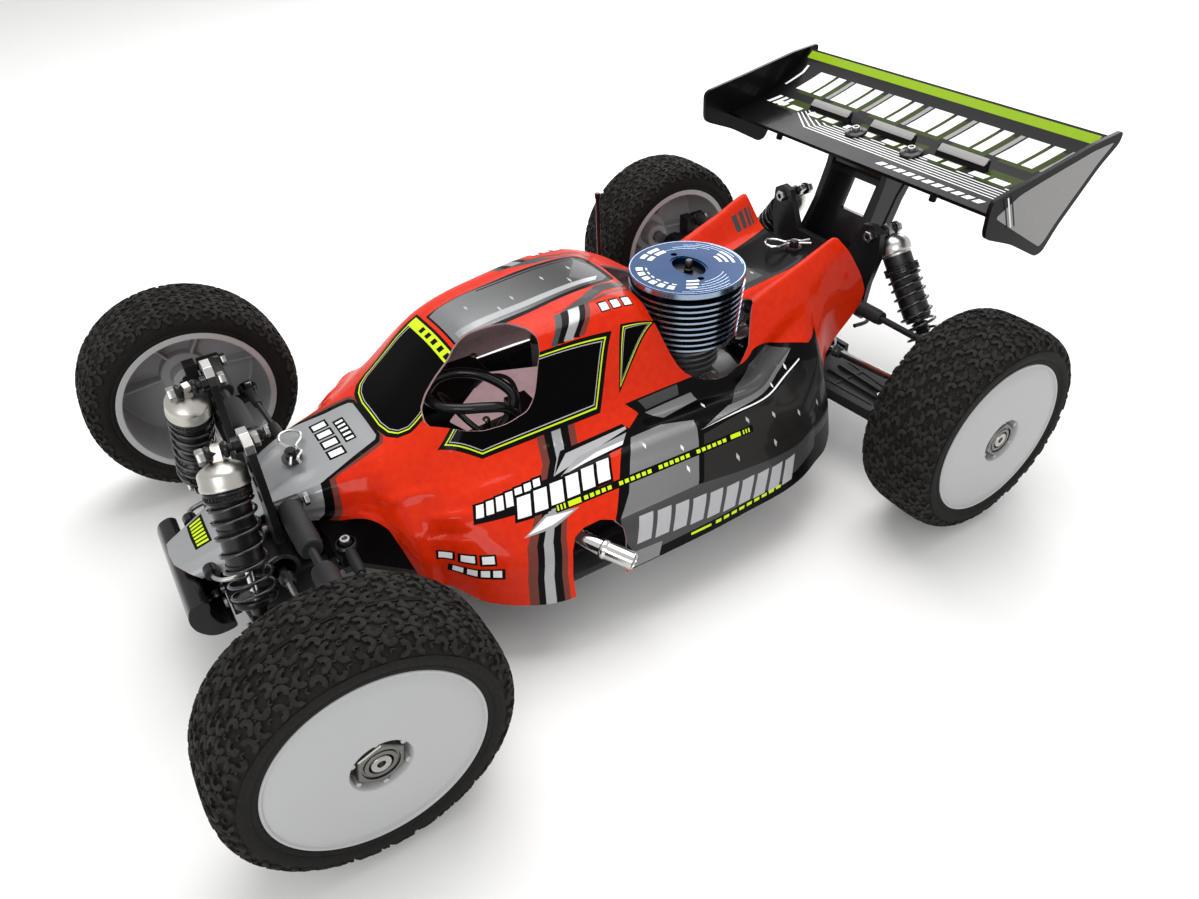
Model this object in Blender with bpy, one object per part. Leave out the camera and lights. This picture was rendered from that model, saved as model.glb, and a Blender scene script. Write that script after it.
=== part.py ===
"""A 1/8-scale four-wheel-drive nitro buggy, as an assembly of its working parts.

The design is laid out in millimetres in the vehicle's own coordinates: X to the driver's
left, Y to the rear, Z up, with zero on the ground halfway between the axles. An empty
moves it so that the middle of the whole length is at the scene's origin.
"""

import math

import bmesh
import bpy
from mathutils import Matrix, Vector

MM = 0.001
LENGTH_MIDDLE = 25.0  # from mid-wheelbase to the middle of the whole length

# Wheels and axles
HALF_WHEELBASE = 163.5
HALF_TRACK = 133.75
AXLE_Z = 56.5
TYRE_R = 56.5
RIM_LIP_R = 41.6
RIM_IN_R = 38.0
AXLE_R = 3.9

# Suspension: each arm and its upper link are equal and parallel
ARM_IN = (24.0, 36.0)  # X and Z of the inner hinge
ARM_OUT = (103.0, 36.0)
FRONT_LINK_IN = (30.0, 80.0)
FRONT_LINK_OUT = (109.0, 80.0)
REAR_LINK_IN = (33.0, 76.0)
REAR_LINK_OUT = (112.0, 76.0)
KINGPIN_X = 108.0
DIFF_Z = 50.0
PIN_R = 1.5
PIN_BORE = 1.85

# Shock absorbers, upper and lower eye
FRONT_SHOCK = ((27.0, -171.8, 116.0), (56.0, -179.6, 46.0))
REAR_SHOCK = ((36.0, 197.0, 116.0), (88.0, 197.0, 47.0))
SPRING_R = 9.8

# Drive line
SPUR_TEETH, BELL_TEETH = 46, 13
CENTRE_Z = 57.0
CRANK_X = 31.0
GEAR_Y = 10.0
HEAD_CENTRE = (32.0, 58.5)
HEAD_R = 28.8

# Steering
BALL_Z = 59.0
PLATE_BALL = (45.0, -136.0)
KNUCKLE_BALL = (108.0, -137.5)
EYE_SET = 0.9  # the ball swings towards the axle at both locks, so the rod's eye sits nearer to it

# Body shell
SHELL = 1.2

MATERIALS = {
    "black_plastic": ((0.018, 0.018, 0.02), 0.5, 0.0),
    "tyre_rubber": ((0.02, 0.02, 0.02), 0.85, 0.0),
    "wheel_white": ((0.72, 0.73, 0.75), 0.35, 0.0),
    "body_paint": ((0.75, 0.05, 0.01), 0.15, 0.0),
    "dark_alloy": ((0.10, 0.10, 0.11), 0.4, 1.0),
    "bright_steel": ((0.65, 0.65, 0.66), 0.25, 1.0),
    "shock_alloy": ((0.6, 0.6, 0.62), 0.3, 1.0),
    "spring_black": ((0.02, 0.02, 0.02), 0.3, 0.0),
    "blue_alloy": ((0.03, 0.16, 0.45), 0.3, 1.0),
    "engine_alloy": ((0.35, 0.35, 0.36), 0.5, 1.0),
    "tank_plastic": ((0.5, 0.5, 0.5), 0.4, 0.0),
    "wing_plastic": ((0.02, 0.02, 0.022), 0.35, 0.0),
}


def clear_scene():
    for obj in list(bpy.data.objects):
        bpy.data.objects.remove(obj, do_unlink=True)


def material(name):
    found = bpy.data.materials.get(name)
    if found:
        return found
    colour, roughness, metallic = MATERIALS[name]
    made = bpy.data.materials.new(name)
    made.use_nodes = True
    shader = made.node_tree.nodes["Principled BSDF"]
    shader.inputs["Base Color"].default_value = (*colour, 1.0)
    shader.inputs["Roughness"].default_value = roughness
    shader.inputs["Metallic"].default_value = metallic
    return made


# Shapes. Each helper takes millimetres and returns a closed helper object.


def made_object(bm):
    bmesh.ops.recalc_face_normals(bm, faces=bm.faces)
    mesh = bpy.data.meshes.new("shape")
    bm.to_mesh(mesh)
    bm.free()
    obj = bpy.data.objects.new("shape", mesh)
    bpy.context.scene.collection.objects.link(obj)
    return obj


def hull(points):
    bm = bmesh.new()
    for point in points:
        bm.verts.new(Vector(point) * MM)
    found = bmesh.ops.convex_hull(bm, input=bm.verts)
    unused = {g for g in found["geom_interior"] if isinstance(g, bmesh.types.BMVert)}
    bmesh.ops.delete(bm, geom=list(unused), context="VERTS")
    bmesh.ops.dissolve_limit(bm, angle_limit=0.001, verts=bm.verts, edges=bm.edges)
    return made_object(bm)


def corners(low, high):
    return [(x, y, z) for x in (low[0], high[0]) for y in (low[1], high[1]) for z in (low[2], high[2])]


def box(low, high):
    return hull(corners(low, high))


def ring_points(centre, axis, radius, sides):
    """Points round a circle about an axis through its centre."""
    axis = Vector(axis).normalized()
    across = axis.orthogonal().normalized()
    if abs(axis.z) < 0.9:
        across = Vector((0, 0, 1)).cross(axis).normalized()
    up = axis.cross(across)
    turn = [2 * math.pi * (i + 0.5) / sides for i in range(sides)]
    return [Vector(centre) + radius * (across * math.cos(a) + up * math.sin(a)) for a in turn]


def rod(start, end, radius, sides=10, end_radius=None):
    axis = Vector(end) - Vector(start)
    far = radius if end_radius is None else end_radius
    return hull(ring_points(start, axis, radius, sides) + ring_points(end, axis, far, sides))


def ball(centre, radius, axis=(1, 0, 0), sides=8):
    tips = []
    for i in range(1, 4):
        turn = math.pi * i / 4
        middle = Vector(centre) + Vector(axis).normalized() * radius * math.cos(turn)
        tips += ring_points(middle, axis, radius * math.sin(turn), sides)
    ends = [Vector(centre) + Vector(axis).normalized() * radius * s for s in (-1, 1)]
    return hull(tips + ends)


def turned(profile, centre, axis, sides):
    """A profile of (radius, distance along the axis) points, turned about the axis.

    It is either closed away from the axis, or starts and ends on it.
    """
    bm = bmesh.new()
    axis = Vector(axis).normalized()
    rows = []
    for radius, along in profile:
        middle = Vector(centre) + axis * along
        if radius == 0:
            rows.append([bm.verts.new(middle * MM)])
        else:
            rows.append([bm.verts.new(p * MM) for p in ring_points(middle, axis, radius, sides)])
    pairs = list(zip(rows, rows[1:]))
    if profile[0][0] != 0:
        pairs.append((rows[-1], rows[0]))
    for first, second in pairs:
        for i in range(sides):
            j = (i + 1) % sides
            corner = [first[i % len(first)], first[j % len(first)], second[j % len(second)], second[i % len(second)]]
            face = list(dict.fromkeys(corner))
            if len(face) > 2:
                bm.faces.new(face)
    return made_object(bm)


def tube(route, radius, sides=12):
    """A round bar bent along a route, mitred at each point."""
    points = [Vector(p) for p in route]
    bm = bmesh.new()
    rows = []
    across = None
    for i, point in enumerate(points):
        before = (point - points[i - 1]).normalized() if i else None
        after = (points[i + 1] - point).normalized() if i + 1 < len(points) else None
        along = ((before or after) + (after or before)).normalized()
        across = (across or along.orthogonal())
        across = (across - along * across.dot(along)).normalized()
        up = along.cross(across)
        turn = [2 * math.pi * k / sides for k in range(sides)]
        rows.append([bm.verts.new((point + radius * (across * math.cos(a) + up * math.sin(a))) * MM) for a in turn])
    for first, second in zip(rows, rows[1:]):
        for k in range(sides):
            j = (k + 1) % sides
            bm.faces.new((first[k], first[j], second[j], second[k]))
    bm.faces.new(rows[0])
    bm.faces.new(rows[-1])
    return made_object(bm)


def extruded(outline, low, high, along="Y"):
    """A flat outline swept between two heights on the named axis."""
    place = {
        "X": lambda a, b, h: (h, a, b),
        "Y": lambda a, b, h: (a, h, b),
        "Z": lambda a, b, h: (a, b, h),
    }[along]
    bm = bmesh.new()
    ends = [[bm.verts.new(Vector(place(a, b, h)) * MM) for a, b in outline] for h in (low, high)]
    for end in ends:
        bm.faces.new(end)
    count = len(outline)
    for i in range(count):
        j = (i + 1) % count
        bm.faces.new((ends[0][i], ends[0][j], ends[1][j], ends[1][i]))
    return made_object(bm)


def both_sides(half):
    """A half outline from bottom to top, with its mirror image added."""
    return half + [(-a, b) for a, b in reversed(half)]


def fused(name, slot, shapes, cutters=(), pivot=(0, 0, 0)):
    """Joins shapes, cuts the cutters away, and keeps the result as one named part."""
    base = shapes[0]
    for other, operation in [(s, "UNION") for s in shapes[1:]] + [(c, "DIFFERENCE") for c in cutters]:
        step = base.modifiers.new(operation.title(), "BOOLEAN")
        step.operation = operation
        step.solver = "EXACT"
        step.object = other
        other.hide_render = True
        other.display_type = "WIRE"
    bpy.context.view_layer.update()
    graph = bpy.context.evaluated_depsgraph_get()
    mesh = bpy.data.meshes.new_from_object(base.evaluated_get(graph))
    for used in (*shapes, *cutters):
        bpy.data.objects.remove(used, do_unlink=True)
    return part(name, slot, mesh, pivot)


def part(name, slot, mesh, pivot=(0, 0, 0)):
    """Names a mesh, puts its origin on its pivot and parents it to the vehicle."""
    mesh.name = name
    mesh.transform(Matrix.Translation(Vector(pivot) * -MM))
    mesh.materials.clear()
    mesh.materials.append(material(slot))
    mesh.shade_smooth()
    mesh.set_sharp_from_angle(angle=math.radians(35))
    obj = bpy.data.objects.new(name, mesh)
    bpy.context.scene.collection.objects.link(obj)
    obj.location = Vector(pivot) * MM
    obj.parent = bpy.data.objects["vehicle"]
    return obj


def mirrored(obj):
    """The right-hand copy of a left-hand part."""
    mesh = obj.data.copy()
    mesh.transform(Matrix.Scale(-1, 4, (1, 0, 0)))
    mesh.flip_normals()
    x, y, z = obj.location / MM
    slot = obj.data.materials[0].name
    return part(obj.name.replace("left", "right"), slot, mesh=shifted(mesh, (-x, y, z)), pivot=(-x, y, z))


def shifted(mesh, offset):
    mesh.transform(Matrix.Translation(Vector(offset) * MM))
    return mesh


# Wheels


def wheel(end, y):
    centre = (HALF_TRACK, y, AXLE_Z)
    rim = [
        (0, 21), (AXLE_R, 21), (AXLE_R, 16), (11.5, 16), (11.5, 22), (RIM_LIP_R, 20.8), (39.6, 18.8),
        (39.6, -18.8), (RIM_LIP_R, -20.5), (RIM_IN_R, -20.5), (RIM_IN_R, 19), (13.2, 20.2), (13.2, 14.4),
        (8, 14.4), (8, 5), (AXLE_R, 5), (AXLE_R, -24.25), (0, -24.25),
    ]
    nut = hull(
        ring_points((HALF_TRACK + 15.5, y, AXLE_Z), (1, 0, 0), 9.8, 6)
        + ring_points((HALF_TRACK + 19.5, y, AXLE_Z), (1, 0, 0), 9.8, 6)
    )
    yield fused(f"{end}_left_wheel", "wheel_white", [turned(rim, centre, (1, 0, 0), 20), nut], pivot=centre)
    half = [(42, -20.2), (48, -21.5), (54, -19.5), (TYRE_R, -12)]
    tyre = half + [(r, -u) for r, u in reversed(half)]
    yield fused(f"{end}_left_tyre", "tyre_rubber", [turned(tyre, centre, (1, 0, 0), 28)], pivot=centre)


# Suspension corners


def lower_arm(end, y, mount):
    x_in, z = ARM_IN
    x_out = ARM_OUT[0]
    shapes = [
        hull(corners((x_in, y - 20.5, 33), (x_in + 6, y + 20.5, 39)) + corners((82, y - 14.5, 33), (88, y + 14.5, 39))),
        rod((x_in, y - 21.2, z), (x_in, y + 21.2, z), 4.2),
    ]
    for low, high in ((-14.5, -9.3), (9.3, 14.5)):
        shapes.append(box((84, y + low, 32.6), (x_out, y + high, 39.4)))
        shapes.append(rod((x_out, y + low, z), (x_out, y + high, z), 3.9))
    shapes.append(rod((x_out, y - 12, z), (x_out, y + 12, z), PIN_R, 8))
    shapes += mount
    bore = rod((x_in, y - 30, z), (x_in, y + 30, z), PIN_BORE, 8)
    return fused(f"{end}_left_lower_arm", "black_plastic", shapes, [bore], (x_in, y, z))


def front_arm_mount(y):
    x, eye_y, z = FRONT_SHOCK[1]
    return [box((x - 4, y - 11.5, 36), (x + 4, y - 8, 49)), rod((x, y - 10, z), (x, eye_y - 5, z), PIN_R, 8)]


def rear_arm_mount(y):
    x, eye_y, z = REAR_SHOCK[1]
    return [box((x - 6, y + 12, 33.5), (x + 6, y + 27, 50)), rod((x, y + 25, z), (x, eye_y + 5, z), PIN_R, 8)]


def upper_link(name, y_low, y_high, inner, outer):
    middle = (y_low + y_high) / 2
    bar = hull(corners((inner[0], middle - 4, inner[1] - 2.6), (inner[0] + 4, middle + 4, inner[1] + 2.6))
               + corners((outer[0] - 4, middle - 3, outer[1] - 2.2), (outer[0], middle + 3, outer[1] + 2.2)))
    shapes = [bar]
    cutters = []
    for (x, z), radius, hole in ((inner, 3.6, PIN_BORE), (outer, 4.8, 2.6)):
        shapes.append(rod((x, y_low, z), (x, y_high, z), radius))
        cutters.append(rod((x, y_low - 5, z), (x, y_high + 5, z), hole, 10))
    return fused(name, "black_plastic", shapes, cutters, (inner[0], middle, inner[1]))


def front_hub_carrier(y):
    x, z = ARM_OUT
    shapes = [
        box((96.5, y - 9, 40.5), (99.5, y + 9, 72.5)),
        box((97, y - 6, 40.5), (112, y + 6, 44.6)),
        box((97, y - 6, 68.4), (113, y + 6, 72.5)),
        rod((x, y - 8, z), (x, y + 8, z), 4.0),
        box((99.2, y - 7.5, 36.5), (106.8, y + 7.5, 41)),
        box((105, y - 2, 72), (113, y + 4, 84)),
        rod((FRONT_LINK_OUT[0], y + 3, 80), (FRONT_LINK_OUT[0], y + 18, 80), 1.8, 8),
        rod((KINGPIN_X, y, 44), (KINGPIN_X, y, 46.8), 1.8, 8),
        rod((KINGPIN_X, y, 66.2), (KINGPIN_X, y, 69), 1.8, 8),
    ]
    cutters = [
        rod((95, y, AXLE_Z), (100.5, y, AXLE_Z), 7.0, 16),
        rod((x, y - 10, z), (x, y + 10, z), PIN_BORE, 8),
    ]
    return fused("front_left_hub_carrier", "black_plastic", shapes, cutters, (x, y, z))


def front_knuckle(y):
    ball_x, ball_y = KNUCKLE_BALL
    shapes = [
        box((104, y - 8.5, 45), (112.6, y + 8.5, 68)),
        rod((112, y, AXLE_Z), (121, y, AXLE_Z), 9.5, 16),
        hull(ring_points((108, y + 7, 52.0), (0, 0, 1), 3, 8) + ring_points((108, y + 7, 55.8), (0, 0, 1), 3, 8)
             + ring_points((ball_x, ball_y, 52.0), (0, 0, 1), 3, 8)
             + ring_points((ball_x, ball_y, 54.8), (0, 0, 1), 3, 8)),
        rod((ball_x, ball_y, 54), (ball_x, ball_y, BALL_Z + 2.5), PIN_R, 8),
    ]
    cutters = [
        rod((103, y, AXLE_Z), (109.8, y, AXLE_Z), 6.0, 16),
        rod((109, y, AXLE_Z), (123, y, AXLE_Z), AXLE_R + 0.5, 16),
        rod((KINGPIN_X, y, 44), (KINGPIN_X, y, 47.2), 2.2, 8),
        rod((KINGPIN_X, y, 65.8), (KINGPIN_X, y, 69), 2.2, 8),
    ]
    return fused("front_left_knuckle", "dark_alloy", shapes, cutters, (KINGPIN_X, y, AXLE_Z))


def rear_hub(y):
    x, z = ARM_OUT
    link_x, link_z = REAR_LINK_OUT
    shapes = [
        box((101, y - 8.5, 44), (113, y + 8.5, 69)),
        rod((112, y, AXLE_Z), (121, y, AXLE_Z), 9.5, 16),
        rod((x, y - 8, z), (x, y + 8, z), 4.0),
        box((99.2, y - 7.5, 36.5), (106.8, y + 7.5, 45)),
        box((107, y + 2, 68), (116, y + 8.5, 80)),
        rod((link_x, y + 8, link_z), (link_x, y + 20, link_z), 1.8, 8),
    ]
    cutters = [
        rod((100, y, AXLE_Z), (109.8, y, AXLE_Z), 6.3, 16),
        rod((109, y, AXLE_Z), (123, y, AXLE_Z), AXLE_R + 0.5, 16),
        rod((x, y - 10, z), (x, y + 10, z), PIN_BORE, 8),
    ]
    return fused("rear_left_hub_carrier", "dark_alloy", shapes, cutters, (x, y, z))


def half_shaft(end, y):
    inner, outer = Vector((28, y, DIFF_Z)), Vector((98, y, AXLE_Z))
    shapes = [rod(inner, outer, 2.3, 10), ball(inner, 3.0), ball(outer, 4.0)]
    return fused(f"{end}_left_half_shaft", "bright_steel", shapes, pivot=inner)


def shock(end, eyes):
    """The sprung strut between its two eyes: body, spring and shaft."""
    top, bottom = Vector(eyes[0]), Vector(eyes[1])
    length = (bottom - top).length
    axis = (bottom - top) / length

    def at(distance):
        return top + axis * distance

    body_end = 50 if end == "front" else 54
    eye_end = Vector((0, 3.5, 0))
    body = fused(
        f"{end}_left_shock_body", "shock_alloy",
        [
            turned([(0, 4), (6, 4), (9.3, 7), (9.3, 16), (7.8, 16), (7.8, 24), (9.6, 24), (9.6, 28), (7.8, 28),
                    (7.8, body_end), (2.4, body_end), (2.4, 18), (0, 18)], top, axis, 12),
            rod(top - eye_end, top + eye_end, 5.0),
        ],
        [rod(top - 2 * eye_end, top + 2 * eye_end, 2.4, 10)], top)
    seat = length - 13
    shaft = fused(
        f"{end}_left_shock_shaft", "bright_steel",
        [
            rod(at(body_end - 16), at(length - 3.6), 1.7, 10),
            rod(at(seat), at(seat + 3), SPRING_R, 16),
            rod(bottom - eye_end, bottom + eye_end, 5.2),
        ],
        [rod(bottom - 2 * eye_end, bottom + 2 * eye_end, 3.2, 10)], bottom)
    coil = [(SPRING_R, 28.4), (SPRING_R, seat - 0.4), (8.4, seat - 0.4), (8.4, 28.4)]
    spring = fused(f"{end}_left_shock_spring", "spring_black", [turned(coil, top, axis, 12)], pivot=top)
    return body, shaft, spring


def tie_rod():
    inner, outer = (*PLATE_BALL, BALL_Z), (KNUCKLE_BALL[0], KNUCKLE_BALL[1] - EYE_SET, BALL_Z)
    shapes = [rod(inner, outer, 2.0, 10)]
    cutters = []
    for end, half in ((Vector(inner), 2.4), (Vector(outer), 2.0)):
        lift = Vector((0, 0, half))
        shapes.append(rod(end - lift, end + lift, 5.2))
        cutters.append(rod(end - 2 * lift, end + 2 * lift, 3.9))
    return fused("front_left_tie_rod", "black_plastic", shapes, cutters, inner)


def corners_of_car():
    """Every left-hand part of the four corners."""
    front, rear = -HALF_WHEELBASE, HALF_WHEELBASE
    yield from wheel("front", front)
    yield from wheel("rear", rear)
    yield lower_arm("front", front, front_arm_mount(front))
    yield lower_arm("rear", rear, rear_arm_mount(rear))
    yield upper_link("front_left_upper_arm", front + 5, front + 16.6, FRONT_LINK_IN, FRONT_LINK_OUT)
    yield upper_link("rear_left_upper_link", rear + 9.3, rear + 18, REAR_LINK_IN, REAR_LINK_OUT)
    yield front_hub_carrier(front)
    yield front_knuckle(front)
    yield rear_hub(rear)
    yield half_shaft("front", front)
    yield half_shaft("rear", rear)
    yield from shock("front", FRONT_SHOCK)
    yield from shock("rear", REAR_SHOCK)
    yield tie_rod()


# Chassis, gearboxes and towers


def chassis_plate():
    half = [(17, -188.3), (19, -150), (30, -128), (58, -100), (62, -60), (62, 60), (48, 104), (28, 134), (20, 150), (20, 188)]
    outline = half + [(-x, y) for x, y in reversed(half)]
    fused("chassis_plate", "dark_alloy", [extruded(outline, 28, 31, "Z")])


def side_guard():
    """A moulded rail: a floor flange beside the plate, and a wall that leans outwards."""
    section = [(62.6, 28.2), (82, 28.2), (88, 36), (88, 40), (85, 40), (80, 31.4), (62.6, 31.4)]
    return fused("side_guard_left", "black_plastic", [extruded(section, -74, 90, "Y")])


def gearbox(end, y, out):
    """A differential case between two hinge-pin holders. out is -1 in front, +1 behind."""
    shapes = [
        box((-17, y - 21.2, 31.3), (17, y + 21.2, 55)),
        box((-18, y - 5.5, 50), (18, y + 12, 58)),
        rod((-32, y, DIFF_Z), (32, y, DIFF_Z), 8.0, 16),
    ]
    for side in (-1, 1):
        for low in (-24.5, 21.5):
            shapes.append(box((min(side * 12, side * 29), y + low, 31.3), (max(side * 12, side * 29), y + low + 3, 41)))
        shapes.append(rod((side * ARM_IN[0], y - 23, ARM_IN[1]), (side * ARM_IN[0], y + 23, ARM_IN[1]), PIN_R, 8))
    inward = y - out * 21
    shapes.append(box((-14, y - 24.5, 31.3), (14, y + 24.5, 41)))
    shapes.append(rod((0, inward, CENTRE_Z), (0, inward - out * 8, CENTRE_Z), 6.5))
    shapes.append(box((-8, min(inward, inward + out * 12), 50), (8, max(inward, inward + out * 12), 62)))
    cutters = [rod((side * 19, y, DIFF_Z), (side * 34, y, DIFF_Z), 6.2, 16) for side in (-1, 1)]
    fused(f"{end}_gearbox", "black_plastic", shapes, cutters)


def front_tower():
    half = [(22, 58.6), (33, 64), (40, 80), (41, 100), (38, 121), (33, 124), (27, 123), (22.5, 116), (24.5, 100),
            (24, 80), (20.5, 64.6)]
    front, back = -162.2, -158.9
    shapes = [extruded([(x, z) for x, z in half] + [(-x, z) for x, z in reversed(half)], front, back)]
    for side in (-1, 1):
        top = FRONT_SHOCK[0]
        shapes.append(rod((side * top[0], back - 1, top[2]), (side * top[0], top[1] - 5, top[2]), 2.0, 8))
        x, z = FRONT_LINK_IN
        shapes.append(rod((side * x, front + 1, z), (side * x, -146, z), PIN_R, 8))
    fused("front_shock_tower", "black_plastic", shapes)


def rear_tower():
    half = [(16, 63.5), (38, 70), (40, 88), (44, 104), (43, 119), (37, 122.5), (30, 121), (20, 100)]
    front, back = 185.4, 188.4
    shapes = [extruded(both_sides(half), front - 2.6, back - 1.8), box((-15, 182.8, 59), (15, 186.4, 66))]
    for side in (-1, 1):
        top = REAR_SHOCK[0]
        shapes.append(rod((side * top[0], front, top[2]), (side * top[0], top[1] + 5, top[2]), 2.0, 8))
        x, z = REAR_LINK_IN
        shapes.append(rod((side * x, front, z), (side * x, 171.5, z), PIN_R, 8))
    fused("rear_shock_tower", "black_plastic", shapes)


def front_bumper():
    """A curved block that wraps under the nose."""
    curve = [(-205, 34), (-206.5, 41), (-204.5, 47), (-199, 49), (-196, 47), (-198, 41), (-195, 33), (-189, 32),
             (-188.6, 28), (-199, 28)]
    fused("front_bumper", "black_plastic", [extruded(curve, -33, 33, "X")])


def wing_mount():
    strut = [(187, 74), (187, 100), (196, 116), (203, 136), (204.5, 144.1), (215, 145.6), (223, 146.9), (233.3, 150.8),
             (240, 154.4), (233, 142), (216, 120), (203, 92), (198, 76)]
    shapes = [extruded(strut, s * 21 - 2, s * 21 + 2, "X") for s in (-1, 1)]
    shapes.append(box((-21, 187, 76), (21, 190.5, 96)))
    shapes.append(hull(corners((-21, 205, 138), (21, 207, 143)) + corners((-21, 222, 142), (21, 224, 146))))
    fused("wing_mount", "black_plastic", shapes)


def wing():
    top = [(197, 145.6), (206, 146.9), (215, 148.2), (223, 149.6), (233, 153.4), (243, 158.9), (253, 165.8), (262.7, 174.2)]
    lower = [(263.6, 173), (253.9, 164.3), (243.8, 157.1), (233.5, 151.4), (223.2, 147.4), (215.2, 146.1), (206.2, 144.8),
             (197.3, 143.8)]
    plate = [(176.5, 161.5), (177.0, 143.0), (200, 134), (223.7, 121), (229, 122), (236, 134), (258, 160), (270, 170),
             (270.2, 175.8), (250, 174), (210, 167)]
    shapes = [extruded(top + lower, -108, 108, "X")]
    for side in (-1, 1):
        shapes.append(extruded(plate, side * 108.4 - 1.2, side * 108.4 + 1.2, "X"))
    fused("wing", "wing_plastic", shapes)


# Engine and drive line


def gear_outline(teeth, pitch_radius, phase):
    """Four points a tooth, cut with generous backlash."""
    step = 2 * math.pi / teeth
    points = []
    for i in range(teeth):
        middle = phase + i * step
        for share, reach in ((-0.24, -1.35), (-0.10, 0.85), (0.10, 0.85), (0.24, -1.35)):
            radius = pitch_radius + reach
            points.append((radius * math.cos(middle + share * step), radius * math.sin(middle + share * step)))
    return points


def gears():
    distance = CRANK_X
    spur_r = distance * SPUR_TEETH / (SPUR_TEETH + BELL_TEETH)
    bell_r = distance - spur_r
    spur = gear_outline(SPUR_TEETH, spur_r, 0)
    bell = gear_outline(BELL_TEETH, bell_r, math.pi * (1 + 1 / BELL_TEETH))
    shapes = [
        extruded([(x, z + CENTRE_Z) for x, z in spur], GEAR_Y - 3, GEAR_Y + 3),
        turned([(0, -14), (13, -14), (14, -12), (14, 12), (11, 15), (0, 15)], (0, GEAR_Y + 3, CENTRE_Z), (0, 1, 0), 20),
        rod((0, -133, CENTRE_Z), (0, 133, CENTRE_Z), 3.0, 8),
    ]
    fused("centre_diff", "dark_alloy", shapes, pivot=(0, GEAR_Y, CENTRE_Z))
    shapes = [
        extruded([(x + CRANK_X, z + CENTRE_Z) for x, z in bell], GEAR_Y - 5, GEAR_Y + 5),
        rod((CRANK_X, GEAR_Y + 4.8, CENTRE_Z), (CRANK_X, GEAR_Y + 8.5, CENTRE_Z), 11.0, 20),
    ]
    fused("clutch_bell", "bright_steel", shapes, pivot=(CRANK_X, GEAR_Y, CENTRE_Z))


def engine():
    x = CRANK_X
    shapes = [
        rod((x, 28, CENTRE_Z), (x, 88, CENTRE_Z), 15.5, 16),
        rod((x, 20.2, CENTRE_Z), (x, 30, CENTRE_Z), 5.0),
        rod((x, 21.5, CENTRE_Z), (x, 25.5, CENTRE_Z), 17.0, 20),
        box((x - 24, 48, 50), (x + 24, 74, 54)),
        box((x - 24, 48, 31.4), (x - 18, 74, 52)),
        box((x + 18, 48, 31.4), (x + 24, 74, 52)),
        rod((*HEAD_CENTRE, 66), (*HEAD_CENTRE, 98.6), 15.0, 16),
        rod((x, 36, 66), (x, 36, 86), 7.5),
        box((x + 8, 50, 66), (50.5, 67, 78)),
    ]
    fused("engine_block", "engine_alloy", shapes)
    fins = 4
    spacing = 10.0
    side = []
    for i in range(fins):
        low = 99 + i * spacing
        reach = HEAD_R - (fins - 1 - i) * 0.6
        side += [(reach, low), (reach, low + 4)]
        if i < fins - 1:
            side += [(17, low + 4), (17, low + spacing)]
    profile = [(0, 99)] + side + [(11, 99 + (fins - 1) * spacing + 4), (8, 125), (0, 125)]
    fused("engine_head", "blue_alloy", [turned(profile, (*HEAD_CENTRE, 0), (0, 0, 1), 20)])


def tuned_pipe():
    """The header elbow, the expansion chamber along the left side and its stinger."""
    centre = (70, 0, 50)
    chamber = [(0, 80), (5, 80), (9, 62), (14.5, 20), (14.5, 0), (6.5, -24), (0, -24)]
    header = [(53, 58.5, 72), (60, 61, 71), (66, 67, 66), (69.5, 74, 58), (70, 77, 49)]
    tip = [(70, -20, 50), (71, -31, 50), (76, -39.5, 49.6), (84, -43, 49), (92, -41, 48.2), (113, -28.5, 45)]
    shapes = [turned(chamber, centre, (0, 1, 0), 16), tube(header, 4.4, 10), tube(tip, 4.3)]
    along = (Vector(tip[-1]) - Vector(tip[-2])).normalized()
    hollow = rod(Vector(tip[-1]) - along * 12, Vector(tip[-1]) + along * 5, 3.3)
    fused("tuned_pipe", "bright_steel", shapes, [hollow])


def fuel_tank():
    low = corners((-70, 20, 31.5), (-26, 80, 62))
    crown = corners((-66, 24, 62), (-30, 76, 69))
    fused("fuel_tank", "tank_plastic", [hull(low + crown), rod((-46, 62, 66), (-46, 62, 77), 9.0, 16)])


def radio_tray():
    """The deck with the receiver box on the right and two servos on the left."""
    shapes = [
        box((-60, -86, 31.4), (58, -14, 34)),
        hull(corners((-70, -84, 33), (-20, -16, 54)) + corners((-66, -80, 54), (-24, -20, 60))),
        box((12, -84, 33), (54, -64, 58)),
        box((12, -56, 33), (54, -36, 58)),
    ]
    fused("radio_tray", "black_plastic", shapes)


def steering():
    reach = 24.0
    post = (-20.0, PLATE_BALL[1] + reach)
    tip = (post[0], PLATE_BALL[1])
    arm = hull([p for c in (post, tip) for z in (42, 45.4) for p in ring_points((*c, z), (0, 0, 1), 4.5, 10)])
    shapes = [arm, rod((*post, 31.4), (*post, 44), 6.5)]
    fused("servo_saver", "black_plastic", shapes, pivot=(*post, 44))
    x, y = PLATE_BALL
    bar = hull(corners((-x - 3, y - 4, 46), (x + 3, y + 4, 49.6)))
    shapes = [bar] + [rod((s * x, y, 48), (s * x, y, BALL_Z + 2.6), PIN_R, 8) for s in (-1, 1)]
    fused("steering_plate", "dark_alloy", shapes)


# Body shell: feature points of the half section, from the crown to the lower edge.

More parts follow.
